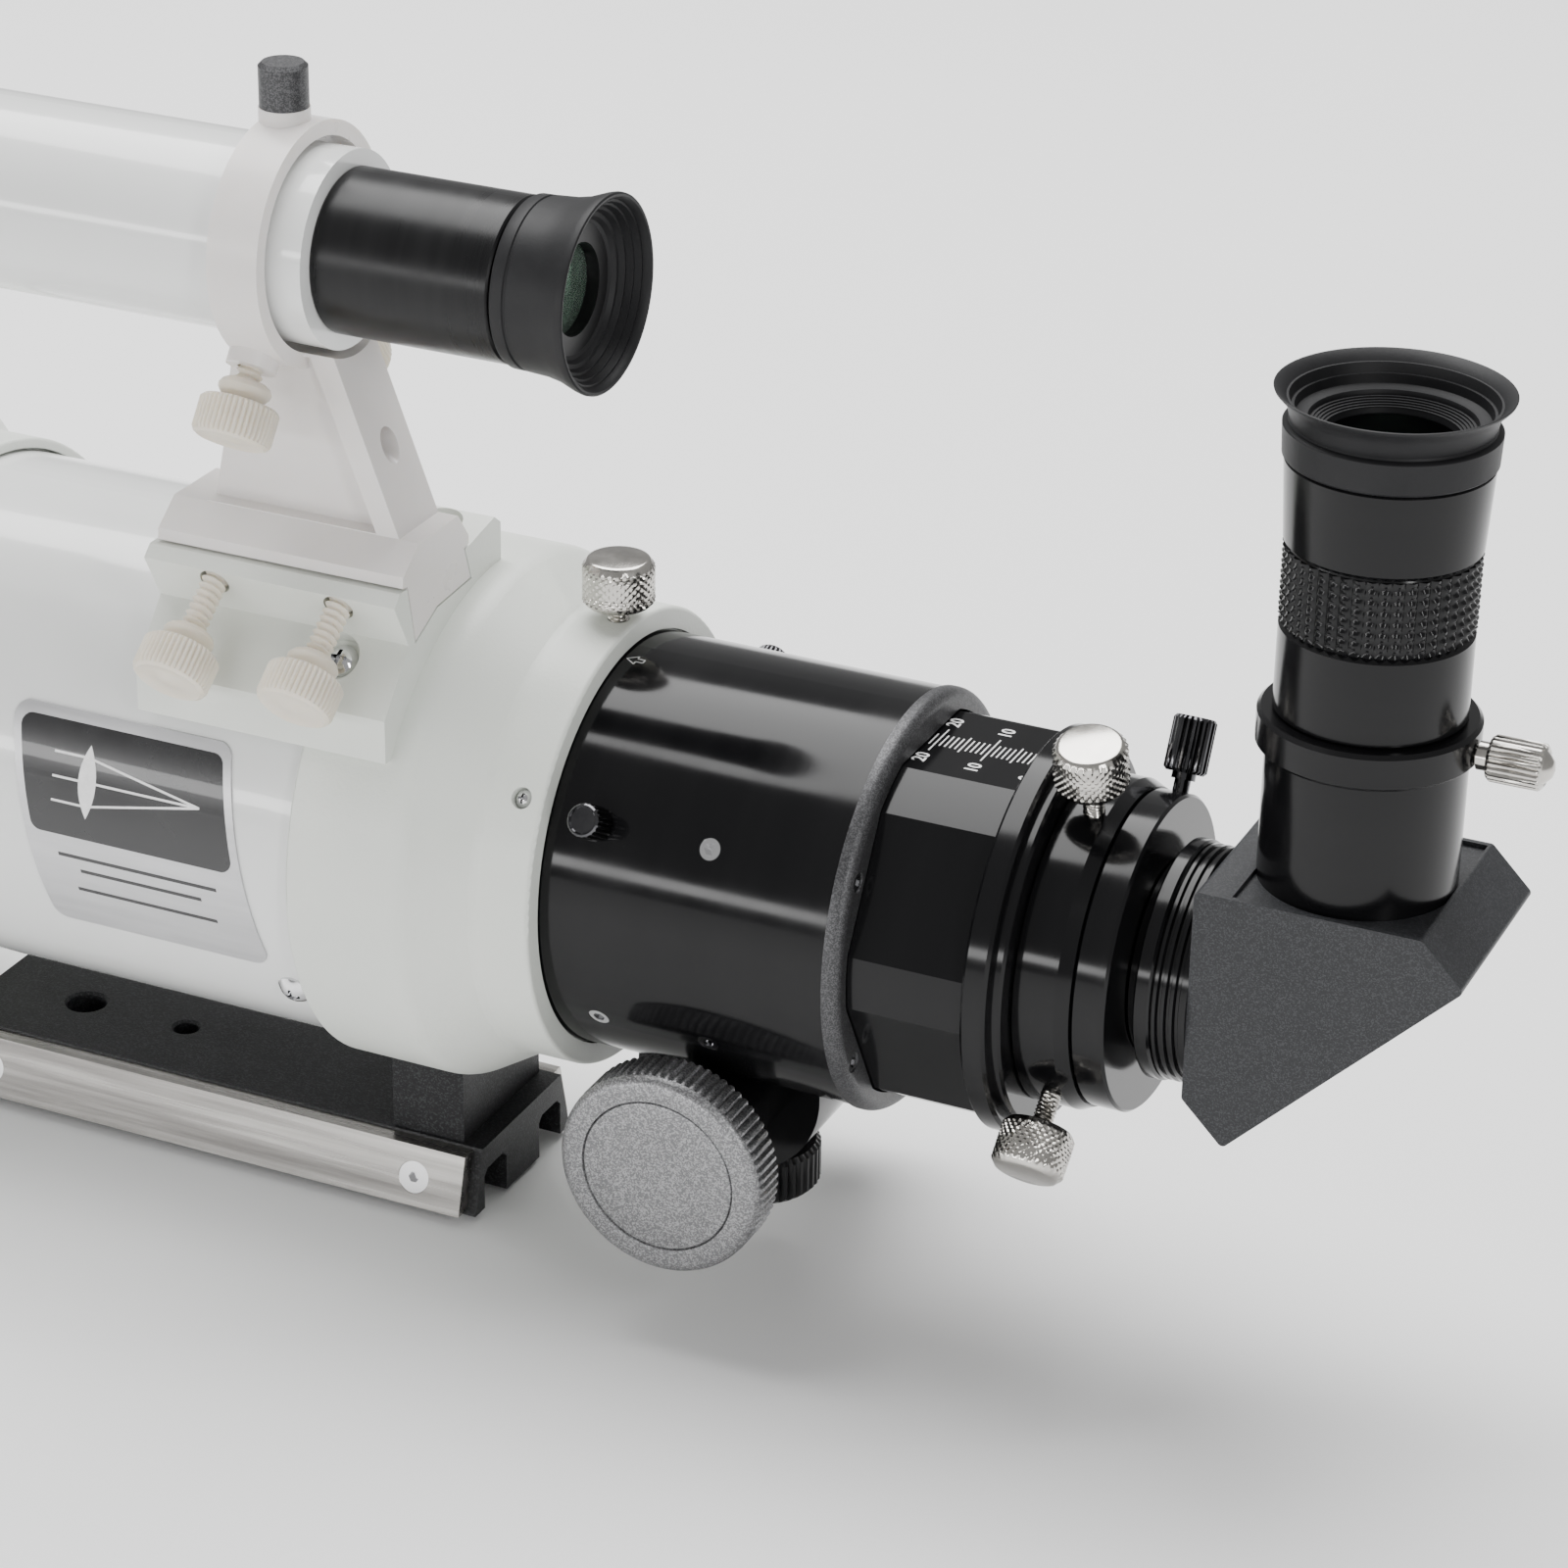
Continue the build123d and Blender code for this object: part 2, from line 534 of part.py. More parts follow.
with BuildPart() as pinion_shaft:
    turn((PINION_X, 0, PINION_Z), ALONG_Y, [
        (-41, 0), (-41, 3.0), (-5.2, 3.0), (-5.2, 4.2), (5.2, 4.2), (5.2, 3.0), (41, 3.0), (41, 0)])
    plane = Plane(origin=(PINION_X, 4.8, PINION_Z), x_dir=ALONG_X, z_dir=(0, -1, 0))
    extrude(outline(plane, gear_points()), amount=9.6)
save(pinion_shaft, "pinion_shaft")

KNOB_R = 20.1
with BuildPart() as focus_knobs:
    for side in (-1, 1):
        turn((PINION_X, 0, PINION_Z), (0, side, 0), [
            (32, 3.0), (32, 9.5), (34.8, 9.5), (34.8, 19.0), (35.9, KNOB_R), (43.6, KNOB_R),
            (45, 18.9), (45, 15.0), (44.4, 14.8), (45, 14.6), (45, 0), (41, 0), (41, 3.0)])
save(focus_knobs, "focus_knobs")

# ================================================================ drawtube and everything that rides on it
with BuildPart() as drawtube:
    extrude(hexagon_face(DRAW_FRONT, DRAW_R, DRAW_FLAT), amount=DRAW_REAR - DRAW_FRONT)
    rod(ON_AXIS, ALONG_X, 30, 180, DRAW_BORE, Mode.SUBTRACT)
save(drawtube, "drawtube")

PITCH_Z = PINION_Z + PITCH_R
RACK_X0 = PINION_X - 25.5 * math.pi * MODULE
RACK_TEETH = 45


def rack_points():
    """Outline of the rack: straight-sided teeth pointing down, one centred over the pinion."""
    step = math.pi * MODULE
    half = step / 4 - 0.04
    low = PITCH_Z - 0.6
    root = PITCH_Z + 1.0
    rise = math.tan(PRESSURE)
    points = [(RACK_X0, AXIS_Z - DRAW_FLAT), (RACK_X0, root)]
    for tooth in range(RACK_TEETH):
        middle = RACK_X0 + (tooth + 0.5) * step
        points.append((middle - half - 1.0 * rise, root))
        points.append((middle - half + 0.6 * rise, low))
        points.append((middle + half - 0.6 * rise, low))
        points.append((middle + half + 1.0 * rise, root))
    points.append((RACK_X0 + RACK_TEETH * step, root))
    points.append((RACK_X0 + RACK_TEETH * step, AXIS_Z - DRAW_FLAT))
    return points


with BuildPart() as rack:
    section_y(-4, 4, rack_points())
save(rack, "rack")

with BuildPart() as drawtube_flange:
    turn(ON_AXIS, ALONG_X, [
        (158, 28.6), (158, DRAW_BORE), (DRAW_REAR, DRAW_BORE), (DRAW_REAR, 36.8),
        (167.3, 37.4), (170.8, 37.4), (171.4, 36.8), (171.4, 35.2), (173, 35.2),
        (173.5, 34.7), (173.5, 28.6)])
save(drawtube_flange, "drawtube_flange")

HOLDER_THUMB_X = 179.0
with BuildPart() as eyepiece_holder:
    turn(ON_AXIS, ALONG_X, [
        (150, TWO_INCH + 0.05), (150, 28.6), (173.5, 28.6), (173.5, 30.0), (173.9, 30.4),
        (181.6, 30.4), (184, 29.3), (184, TWO_INCH + 0.05), (181.5, TWO_INCH + 0.05),
        (181.5, 26.6), (176.5, 26.6), (176.5, TWO_INCH + 0.05)])
    for angle in (15, 132):
        rod(station(HOLDER_THUMB_X), outward(angle), 26, 32, 2.0, Mode.SUBTRACT)
save(eyepiece_holder, "eyepiece_holder")

with BuildPart() as compression_ring:
    turn(ON_AXIS, ALONG_X, [(176.7, 25.5), (176.7, 26.5), (181.3, 26.5), (181.3, 25.5)])
    block(176, 182, -1, 1, AXIS_Z - 30, AXIS_Z, Mode.SUBTRACT)
save(compression_ring, "compression_ring")

with BuildPart() as holder_thumbscrew_upper:
    knurled_thumb(station(HOLDER_THUMB_X), outward(15), 26.6, 36.2, 37.0, 45.6, 1.95, 6.8, 3.2)
save(holder_thumbscrew_upper, "holder_thumbscrew_upper")

with BuildPart() as holder_thumbscrew_lower:
    knurled_thumb(station(HOLDER_THUMB_X), outward(132), 26.6, 36.2, 37.0, 45.6, 1.95, 6.8, 3.2)
save(holder_thumbscrew_lower, "holder_thumbscrew_lower")

REDUCER_THUMB_X = 187.3
REDUCER_THUMB_ANGLE = -28
BORE_SMALL = SMALL + 0.08
with BuildPart() as reducer:
    turn(ON_AXIS, ALONG_X, [
        (156, BORE_SMALL), (156, 24.9), (156.5, TWO_INCH), (184.2, TWO_INCH), (184.2, 28.6),
        (184.6, 29.0), (189.8, 29.0), (190.3, 28.5), (190.3, BORE_SMALL)])
    rod(station(REDUCER_THUMB_X), outward(REDUCER_THUMB_ANGLE), 15, 31, 1.55, Mode.SUBTRACT)
save(reducer, "reducer")

with BuildPart() as reducer_thumbscrew:
    turn(station(REDUCER_THUMB_X), outward(REDUCER_THUMB_ANGLE), [
        (16.3, 0), (16.3, 1.1), (16.7, 1.5), (31.2, 1.5), (31.2, 2.2), (32.4, 2.2),
        (32.4, 3.4), (33, 4.0), (42, 4.0), (42.6, 3.4), (42.6, 0)])
save(reducer_thumbscrew, "reducer_thumbscrew")

# ================================================================ diagonal
BOX_X0 = 202.5
BOX_X1 = 243.2
BOX_TOP = AXIS_Z + 24.7
BOX_LOW = BOX_TOP - (BOX_X1 - BOX_X0)
CORNER = 8.0
BOX_HALF = 20.5
COVER_T = 2.6

with BuildPart() as diagonal_nosepiece:
    turn(ON_AXIS, ALONG_X, [
        (162, 13.6), (162, SMALL), (176, SMALL), (176.5, 15.2), (180.5, 15.2), (181, SMALL),
        (190.6, SMALL), (190.6, 17.6), (192.9, 17.6), (192.9, 21.4), (193.3, 21.9),
        (195.5, 21.9), (195.9, 21.4), (195.9, 20.5), (196.4, 20.5), (196.4, 21.5),
        (197.0, 21.5), (197.3, 20.8), (197.7, 20.8), (198.0, 21.5), (198.6, 21.5),
        (198.9, 20.8), (199.3, 20.8), (199.6, 21.5), (200.2, 21.5), (200.5, 20.8),
        (201.0, 20.8), (201.3, 21.4), (202.5, 21.4), (202.5, 17.0), (206, 17.0), (206, 13.6)])
save(diagonal_nosepiece, "diagonal_nosepiece")

# the mirror lies along x - z = constant through the crossing of the two axes
MIRROR_MID = (EYE_X, 0, AXIS_Z)
BACK = (math.sqrt(0.5), 0, -math.sqrt(0.5))
UP_SLOPE = (math.sqrt(0.5), 0, math.sqrt(0.5))


def slope_plate(near, far, half_length, half_width, mode=Mode.ADD):
    """Plate lying on the 45 degree slope, between two distances behind the mirror's face."""
    origin = tuple(m + near * b for m, b in zip(MIRROR_MID, BACK))
    plane = Plane(origin=origin, x_dir=ALONG_Y, z_dir=BACK)
    face = outline(plane, [(-half_width, -half_length), (half_width, -half_length),
                           (half_width, half_length), (-half_width, half_length)])
    extrude(face, amount=far - near, mode=mode)


BACK_DEPTH = ((BOX_X0 + CORNER) - (BOX_LOW - CORNER) - (EYE_X - AXIS_Z)) * math.sqrt(0.5)
with BuildPart() as diagonal_housing:
    section_y(-BOX_HALF, BOX_HALF, [
        (BOX_X0, BOX_TOP), (BOX_X1, BOX_TOP), (BOX_X1 + CORNER, BOX_TOP - CORNER),
        (BOX_X0 + CORNER, BOX_LOW - CORNER), (BOX_X0, BOX_LOW)])
    edges_x = diagonal_housing.edges().filter_by(Axis.Y)
    fillet(edges_x, 1.0)
    block(BOX_X0 + 6.5, BOX_X1 - 0.6, -BOX_HALF + 1.1, BOX_HALF - 1.1, BOX_TOP - 0.9,
          BOX_TOP + 1, Mode.SUBTRACT)
    rod(ON_AXIS, ALONG_X, BOX_X0 - 1, BOX_X0 + 3.5, 17.0, Mode.SUBTRACT)
    rod(ON_AXIS, ALONG_X, BOX_X0, EYE_X, 14.2, Mode.SUBTRACT)
    rod((EYE_X, 0, 0), ALONG_Z, AXIS_Z, BOX_TOP + 1, 14.2, Mode.SUBTRACT)
    rod((EYE_X, 0, 0), ALONG_Z, BOX_TOP - 3, BOX_TOP + 1, 17.5, Mode.SUBTRACT)
    slope_plate(-0.2, BACK_DEPTH + 1, 23, 17, Mode.SUBTRACT)
    slope_plate(BACK_DEPTH - COVER_T, BACK_DEPTH + 1, 26, 18.5, Mode.SUBTRACT)
save(diagonal_housing, "diagonal_housing")

with BuildPart() as diagonal_mirror:
    slope_plate(0, BACK_DEPTH - COVER_T - 0.3, 22.5, 16.5)
save(diagonal_mirror, "diagonal_mirror")

with BuildPart() as diagonal_cover:
    slope_plate(BACK_DEPTH - COVER_T, BACK_DEPTH, 26, 18.5)
save(diagonal_cover, "diagonal_cover")

SOCKET_LOW = BOX_TOP - 3
RIM_LOW = AXIS_Z + 48.8
RIM_TOP = AXIS_Z + 55.5
EYE_AXIS = (EYE_X, 0, 0)
SOCKET_THUMB_Z = AXIS_Z + 51.0
with BuildPart() as diagonal_socket:
    turn(EYE_AXIS, ALONG_Z, [
        (SOCKET_LOW, 14.2), (SOCKET_LOW, 17.5), (RIM_LOW, 17.5), (RIM_LOW, 18.6),
        (RIM_LOW + 0.7, 19.3), (RIM_TOP - 0.7, 19.3), (RIM_TOP, 18.6), (RIM_TOP, BORE_SMALL),
        (SOCKET_LOW + 3, BORE_SMALL), (SOCKET_LOW + 3, 14.2)])
    rod((EYE_X, 0, SOCKET_THUMB_Z), ALONG_X, 10, 25, 1.55, Mode.SUBTRACT)
save(diagonal_socket, "diagonal_socket")

with BuildPart() as socket_thumbscrew:
    turn((EYE_X, 0, SOCKET_THUMB_Z), ALONG_X, [
        (16.3, 0), (16.3, 1.1), (16.7, 1.5), (19.6, 1.5), (19.6, 2.5), (21.6, 2.5),
        (21.6, 3.7), (22, 4.1), (30.6, 4.1), (31.2, 3.7), (32.6, 2.4), (33, 0)])
save(socket_thumbscrew, "socket_thumbscrew")

# ================================================================ eyepiece
SHOULDER = RIM_TOP + 0.05
with BuildPart() as eyepiece_barrel:
    turn(EYE_AXIS, ALONG_Z, [
        (108, 14.2), (108, 15.5), (108.4, SMALL), (118, SMALL), (118.5, 15.3), (122.5, 15.3),
        (123, SMALL), (SHOULDER, SMALL), (SHOULDER + 4, SMALL), (SHOULDER + 4, 14.2)])
save(eyepiece_barrel, "eyepiece_barrel")

GRIP_LOW = AXIS_Z + 71.8
GRIP_TOP = AXIS_Z + 85.9
CUP_LOW = AXIS_Z + 101.4
CUP_TOP = AXIS_Z + 113.4
with BuildPart() as eyepiece_body:
    turn(EYE_AXIS, ALONG_Z, [
        (SHOULDER, SMALL), (SHOULDER, 16.1), (SHOULDER + 0.5, 16.6), (GRIP_LOW - 0.8, 16.6),
        (GRIP_LOW, 16.0), (GRIP_LOW + 0.3, 17.0), (GRIP_TOP - 0.3, 17.0), (GRIP_TOP, 16.0),
        (GRIP_TOP + 0.8, 16.9), (CUP_LOW - 0.5, 17.4), (CUP_LOW, 16.9), (CUP_LOW, 15.2),
        (CUP_LOW + 3.5, 15.2), (CUP_LOW + 3.5, 11.0), (CUP_LOW - 4, 11.0), (CUP_LOW - 4, 12.5),
        (SHOULDER + 4, 12.5), (SHOULDER + 4, SMALL)])
save(eyepiece_body, "eyepiece_body")

with BuildPart() as eyepiece_lenses:
    lens(EYE_AXIS, ALONG_Z, GRIP_TOP - 1, 0, GRIP_TOP + 1, 3, 12.5)
    lens(EYE_AXIS, ALONG_Z, GRIP_TOP + 8.4, -3, GRIP_TOP + 10.4, 0, 12.5)
save(eyepiece_lenses, "eyepiece_lenses")

with BuildPart() as eyepiece_eyecup:
    turn(EYE_AXIS, ALONG_Z, [
        (CUP_LOW, 15.2), (CUP_LOW, 17.6), (CUP_LOW + 0.4, 18.0), (CUP_LOW + 5.6, 18.3),
        (CUP_LOW + 6.0, 17.9), (CUP_LOW + 6.0, 17.5), (CUP_TOP - 3.2, 17.9),
        (CUP_TOP - 1.6, 18.9), (CUP_TOP - 0.6, 20.0), (CUP_TOP - 0.2, 20.2), (CUP_TOP, 19.9),
        (CUP_TOP - 0.3, 19.3), (CUP_TOP - 1.5, 18.0), (CUP_TOP - 5, 16.6),
        (CUP_TOP - 5.6, 13.8), (CUP_LOW + 5.5, 12.6), (CUP_LOW + 4.2, 11.0),
        (CUP_LOW + 3.5, 11.0), (CUP_LOW + 3.5, 15.2)])
save(eyepiece_eyecup, "eyepiece_eyecup")

# ================================================================ finder bracket and finder
FINDER_AXIS = (0, FINDER_Y, FINDER_Z)
RING_X0 = 25.5
RING_X1 = 35.5
ALIGN_X = 28.0
ALIGN_ANGLES = {"near": 144, "far": -144}


def finder_station(x):
    """Point on the finder's axis."""
    return (x, FINDER_Y, FINDER_Z)


GAP = 0.35               # play between the bracket's foot and its slot
FOOT_TOP = SHOE_TOP + 7.0
FLANGE_HALF = 7.2        # half width of the bracket's sloping flanges
REAR_EDGE = ((57.9, AXIS_Z + 55), (41, AXIS_Z + 99))


def foot_section():
    """Bracket foot seen from the end: dovetail, near and far lips, sloping shoulders."""
    return [(SLOT[1][0] + GAP, AXIS_Z + SLOT[1][1] + 0.45), (SLOT[2][0], AXIS_Z + SLOT[2][1] + GAP),
            (SLOT[3][0] - GAP, AXIS_Z + SLOT[3][1] + GAP), (SLOT[4][0] - GAP, AXIS_Z + 58.2),
            (SLOT[4][0] + 1.5, AXIS_Z + 58.7), (SLOT[4][0] + 1.5, AXIS_Z + 60.2),
            (FINDER_Y + FLANGE_HALF, FOOT_TOP), (FINDER_Y - FLANGE_HALF, FOOT_TOP),
            (-36.6, AXIS_Z + 61), (-36.8, AXIS_Z + 58.9), (SLOT[0][0] + GAP, AXIS_Z + 58.8)]


with BuildPart() as finder_bracket:
    section_x(SHOE_X0 + 1, REAR_EDGE[0][0], foot_section())
    section_y(FINDER_Y - FLANGE_HALF, FINDER_Y + FLANGE_HALF, [
        (12.5, AXIS_Z + 56), REAR_EDGE[0], REAR_EDGE[1], (38, FINDER_Z - 12),
        (22, FINDER_Z - 12), (21, FINDER_Z - 16)])
    for side in (-1, 1):
        y = FINDER_Y + side * FLANGE_HALF
        section_y(min(y, y - side * 3.2), max(y, y - side * 3.2), [
            (6, FOOT_TOP + 0.2), (49.3, FOOT_TOP + 0.2), (40.4, FINDER_Z - 27),
            (6, FINDER_Z - 27)], Mode.SUBTRACT)
        section_y(min(y, y - side * 1.6), max(y, y - side * 1.6), [
            (6, FINDER_Z - 27), (40.4, FINDER_Z - 27), (36.8, FINDER_Z - 18.5),
            (6, FINDER_Z - 18.5)], Mode.SUBTRACT)
    rod(FINDER_AXIS, ALONG_X, RING_X0, RING_X1, 22.0)
    for angle in (144, -144, 0):
        rod(finder_station(ALIGN_X + 1), outward(angle), 15, 24.2, 4.6)
    rod(FINDER_AXIS, ALONG_X, 10, 50, 19.2, Mode.SUBTRACT)
    for angle in (144, -144, 0):
        rod(finder_station(ALIGN_X + 1), outward(angle), 15, 30, 2.45, Mode.SUBTRACT)
    rod((0, FINDER_Y, AXIS_Z + 98), (math.cos(0.36), 0, -math.sin(0.36)), 43, 60, 2.6,
        Mode.SUBTRACT)
save(finder_bracket, "finder_bracket")


def align_screw(angle):
    """Nylon aiming screw with a lock nut under its head."""
    turn(finder_station(ALIGN_X + 1), outward(angle), [
        (18.1, 0), (18.1, 1.6), (18.8, 2.4), (26.6, 2.4), (26.6, 4.8), (28.8, 4.8),
        (29.4, 3.4), (30.6, 3.4), (30.6, 6.6), (31.2, 7.2), (37.2, 7.2), (37.8, 6.4), (37.8, 0)])


with BuildPart() as align_screw_near:
    align_screw(ALIGN_ANGLES["near"])
save(align_screw_near, "align_screw_near")

with BuildPart() as align_screw_far:
    align_screw(ALIGN_ANGLES["far"])
save(align_screw_far, "align_screw_far")

with BuildPart() as spring_plunger:
    turn(finder_station(ALIGN_X + 1), outward(0), [
        (18.1, 0), (18.1, 1.2), (19.0, 1.8), (20.0, 2.4), (24.2, 2.4), (24.2, 4.4),
        (31.5, 4.4), (32.2, 3.7), (32.2, 0)])
save(spring_plunger, "spring_plunger")

FINDER_R = 17.76
with BuildPart() as finder_tube:
    turn(FINDER_AXIS, ALONG_X, [
        (-82, 18.4), (-82, 20.2), (-81.4, 20.8), (-60, 20.8), (-57, FINDER_R), (41.6, FINDER_R),
        (41.6, 13.6), (39.6, 13.6), (39.6, 16.2), (-62, 16.2), (-62, 15.2), (-64, 15.2),
        (-64, 18.4)])
save(finder_tube, "finder_tube")

with BuildPart() as finder_lenses:
    lens(FINDER_AXIS, ALONG_X, -66.6, -2.4, -64, 0, 18.4)
    lens(FINDER_AXIS, ALONG_X, 79.5, -1.8, 83.5, 0, 9.5)
save(finder_lenses, "finder_lenses")

with BuildPart() as finder_eyepiece:
    turn(FINDER_AXIS, ALONG_X, [
        (36, 12.4), (36, 13.6), (41.6, 13.6), (41.6, 14.5), (42, 14.8), (75.8, 14.8),
        (76.2, 14.4), (76.2, 13.4), (86, 13.4), (86, 8.2), (83.5, 8.2), (83.5, 9.5),
        (76, 9.5), (76, 12.4)])
save(finder_eyepiece, "finder_eyepiece")

with BuildPart() as finder_eyecup:
    turn(FINDER_AXIS, ALONG_X, [
        (76.8, 13.4), (76.8, 15.2), (84, 15.6), (90.5, 17.5), (91.5, 17.7), (91.9, 17.3),
        (91.4, 16.4), (87.5, 14.6), (86.2, 11.5), (86, 11.5), (86, 13.4)])
save(finder_eyecup, "finder_eyecup")
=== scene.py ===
import math

import bmesh
import bpy
from mathutils import Matrix, Vector


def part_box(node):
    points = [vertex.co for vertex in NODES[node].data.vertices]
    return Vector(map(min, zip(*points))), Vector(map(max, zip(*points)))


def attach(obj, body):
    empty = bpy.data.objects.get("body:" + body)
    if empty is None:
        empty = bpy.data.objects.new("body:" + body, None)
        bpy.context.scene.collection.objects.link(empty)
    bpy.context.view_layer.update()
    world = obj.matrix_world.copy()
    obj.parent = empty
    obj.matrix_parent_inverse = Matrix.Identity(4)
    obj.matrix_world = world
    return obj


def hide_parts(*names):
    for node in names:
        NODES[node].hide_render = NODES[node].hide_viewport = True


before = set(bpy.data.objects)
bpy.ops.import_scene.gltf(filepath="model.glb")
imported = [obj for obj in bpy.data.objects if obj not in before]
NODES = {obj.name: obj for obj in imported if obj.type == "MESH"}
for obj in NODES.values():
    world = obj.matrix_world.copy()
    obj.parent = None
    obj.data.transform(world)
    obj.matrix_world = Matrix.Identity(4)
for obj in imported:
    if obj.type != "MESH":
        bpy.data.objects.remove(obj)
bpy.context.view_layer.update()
MM = 0.001

# ---------------------------------------------------------------- places taken from the frame
UP = Vector((0, 0, 1))
AFT = Vector((1, 0, 0))
SIDE = Vector((0, 1, 0))


def middle(node):
    """Centre of a CAD node's box."""
    low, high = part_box(node)
    return (low + high) / 2


AXIS_Z = middle("end_ring").z


def outward(angle):
    """Unit vector square to the optical axis: 0 is up, positive towards the camera's side."""
    a = math.radians(angle)
    return Vector((0, -math.sin(a), math.cos(a)))


def station(x):
    """Point on the optical axis, x in metres."""
    return Vector((x, 0, AXIS_Z))


# ---------------------------------------------------------------- materials
def new_material(name):
    """Material with an empty tree but for its Principled shader and output."""
    mat = bpy.data.materials.new(name)
    mat.use_nodes = True
    shader = mat.node_tree.nodes["Principled BSDF"]
    return mat, mat.node_tree, shader


def add(tree, kind, **values):
    """New node with some of its inputs and properties set."""
    node = tree.nodes.new(kind)
    for key, value in values.items():
        if key in node.inputs:
            node.inputs[key].default_value = value
        else:
            setattr(node, key, value)
    return node


def coordinates(tree, stretch=(1, 1, 1)):
    """Object coordinates, squeezed or stretched."""
    source = add(tree, "ShaderNodeTexCoord")
    mapping = add(tree, "ShaderNodeMapping", Scale=stretch)
    tree.links.new(source.outputs["Object"], mapping.inputs["Vector"])
    return mapping.outputs["Vector"]


def noise(tree, vector, scale, detail=2.0, rough=0.5):
    """Noise texture output."""
    node = add(tree, "ShaderNodeTexNoise", Scale=scale, Detail=detail, Roughness=rough)
    tree.links.new(vector, node.inputs["Vector"])
    return node.outputs["Fac"]


def ramp(tree, value, low, high, start=0.0, end=1.0):
    """Maps a value onto a range, clamped."""
    node = add(tree, "ShaderNodeMapRange")
    node.inputs["From Min"].default_value = start
    node.inputs["From Max"].default_value = end
    node.inputs["To Min"].default_value = low
    node.inputs["To Max"].default_value = high
    tree.links.new(value, node.inputs["Value"])
    return node.outputs["Result"]


def tint(tree, value, dark, light):
    """Blends two colours by a value."""
    node = add(tree, "ShaderNodeMix", data_type="RGBA")
    node.inputs["A"].default_value = (*dark, 1)
    node.inputs["B"].default_value = (*light, 1)
    tree.links.new(value, node.inputs["Factor"])
    return node.outputs["Result"]


def bump(tree, shader, height, strength, distance):
    """Adds a bump, on top of any bump the shader already has."""
    node = add(tree, "ShaderNodeBump", Strength=strength, Distance=distance)
    tree.links.new(height, node.inputs["Height"])
    if shader.inputs["Normal"].links:
        tree.links.new(shader.inputs["Normal"].links[0].from_socket, node.inputs["Normal"])
    tree.links.new(node.outputs["Normal"], shader.inputs["Normal"])


def finish(name, dark, light, rough=(0.3, 0.4), metallic=0.0, coat=0.0, coat_rough=0.03,
           grain=800.0, grain_strength=0.0, grain_depth=0.0001, cloud=30.0,
           stretch=(1, 1, 1), specular=0.5):
    """General finish: clouded colour and roughness, with a fine grain in the bump."""
    mat, tree, shader = new_material(name)
    shader.inputs["Metallic"].default_value = metallic
    shader.inputs["Coat Weight"].default_value = coat
    shader.inputs["Coat Roughness"].default_value = coat_rough
    shader.inputs["Specular IOR Level"].default_value = specular
    vector = coordinates(tree, stretch)
    patches = noise(tree, vector, cloud, 4.0, 0.6)
    tree.links.new(tint(tree, ramp(tree, patches, 0, 1, 0.3, 0.7), dark, light),
                   shader.inputs["Base Color"])
    tree.links.new(ramp(tree, patches, rough[0], rough[1], 0.3, 0.7), shader.inputs["Roughness"])
    if grain_strength:
        bump(tree, shader, noise(tree, vector, grain, 3.0, 0.6), grain_strength, grain_depth)
    return mat


def grains_and_painted_glints(mat, scale, dark, light, strength, depth, threshold=(0.45, 0.75)):
    """Adds grains to a finish: the cells make a real bump, and the brighter cells are painted
    glints in the colour, standing in for the glints a blasted or textured coating sparkles with.
    """
    tree = mat.node_tree
    shader = tree.nodes["Principled BSDF"]
    vector = coordinates(tree)
    cells = add(tree, "ShaderNodeTexVoronoi", Scale=scale)
    tree.links.new(vector, cells.inputs["Vector"])
    glint_cells = add(tree, "ShaderNodeSeparateColor")
    tree.links.new(cells.outputs["Color"], glint_cells.inputs["Color"])
    # painted glints: the brighter cells are tinted towards the light colour
    glint_mask = ramp(tree, glint_cells.outputs["Red"], 0, 1, threshold[0], threshold[1])
    tree.links.new(tint(tree, glint_mask, dark, light), shader.inputs["Base Color"])
    bump(tree, shader, cells.outputs["Distance"], strength, depth)
    return mat


MAT = {}
MAT["enamel"] = finish("enamel", (0.76, 0.77, 0.76), (0.80, 0.81, 0.80), (0.16, 0.22), coat=0.6,
                       grain=420, grain_strength=0.05, grain_depth=0.0002, cloud=12)
MAT["orange_peel"] = finish("orange_peel", (0.69, 0.72, 0.67), (0.74, 0.76, 0.71), (0.38, 0.5),
                            grain=1300, grain_strength=0.28, grain_depth=0.00025, cloud=25,
                            coat=0.15, coat_rough=0.25)
MAT["gloss_black"] = finish("gloss_black", (0.0035, 0.0035, 0.004), (0.006, 0.006, 0.0065),
                            (0.10, 0.16), grain=2600, grain_strength=0.05, grain_depth=0.00004,
                            cloud=60, stretch=(1, 0.06, 0.06), specular=0.26)
MAT["turned_black"] = finish("turned_black", (0.005, 0.005, 0.0055), (0.008, 0.008, 0.0085),
                             (0.26, 0.33), grain=3600, grain_strength=0.06, grain_depth=0.00003,
                             cloud=420, stretch=(1, 0.04, 0.04), specular=0.26)
MAT["upright_black"] = finish("upright_black", (0.0035, 0.0035, 0.004), (0.006, 0.006, 0.0065),
                              (0.13, 0.2), grain=2600, grain_strength=0.05, grain_depth=0.00004,
                              cloud=60, stretch=(0.06, 0.06, 1), specular=0.26)
# blasted grey: the last colour is painted glint on the brighter grains
MAT["blasted_grey"] = grains_and_painted_glints(
    finish("blasted_grey", (0.05, 0.05, 0.052), (0.07, 0.07, 0.072), (0.42, 0.52), 0.6,
           grain=4200, grain_strength=0.2, grain_depth=0.00005),
    5200, (0.045, 0.045, 0.047), (0.10, 0.10, 0.104), 0.16, 0.00004)
# blasted silver: the last colour is painted glint on the brighter grains
MAT["blasted_silver"] = grains_and_painted_glints(
    finish("blasted_silver", (0.3, 0.3, 0.3), (0.4, 0.4, 0.4), (0.4, 0.5), 0.9,
           grain=4200, grain_strength=0.16, grain_depth=0.00005),
    4200, (0.17, 0.17, 0.175), (0.34, 0.34, 0.345), 0.3, 0.00005)
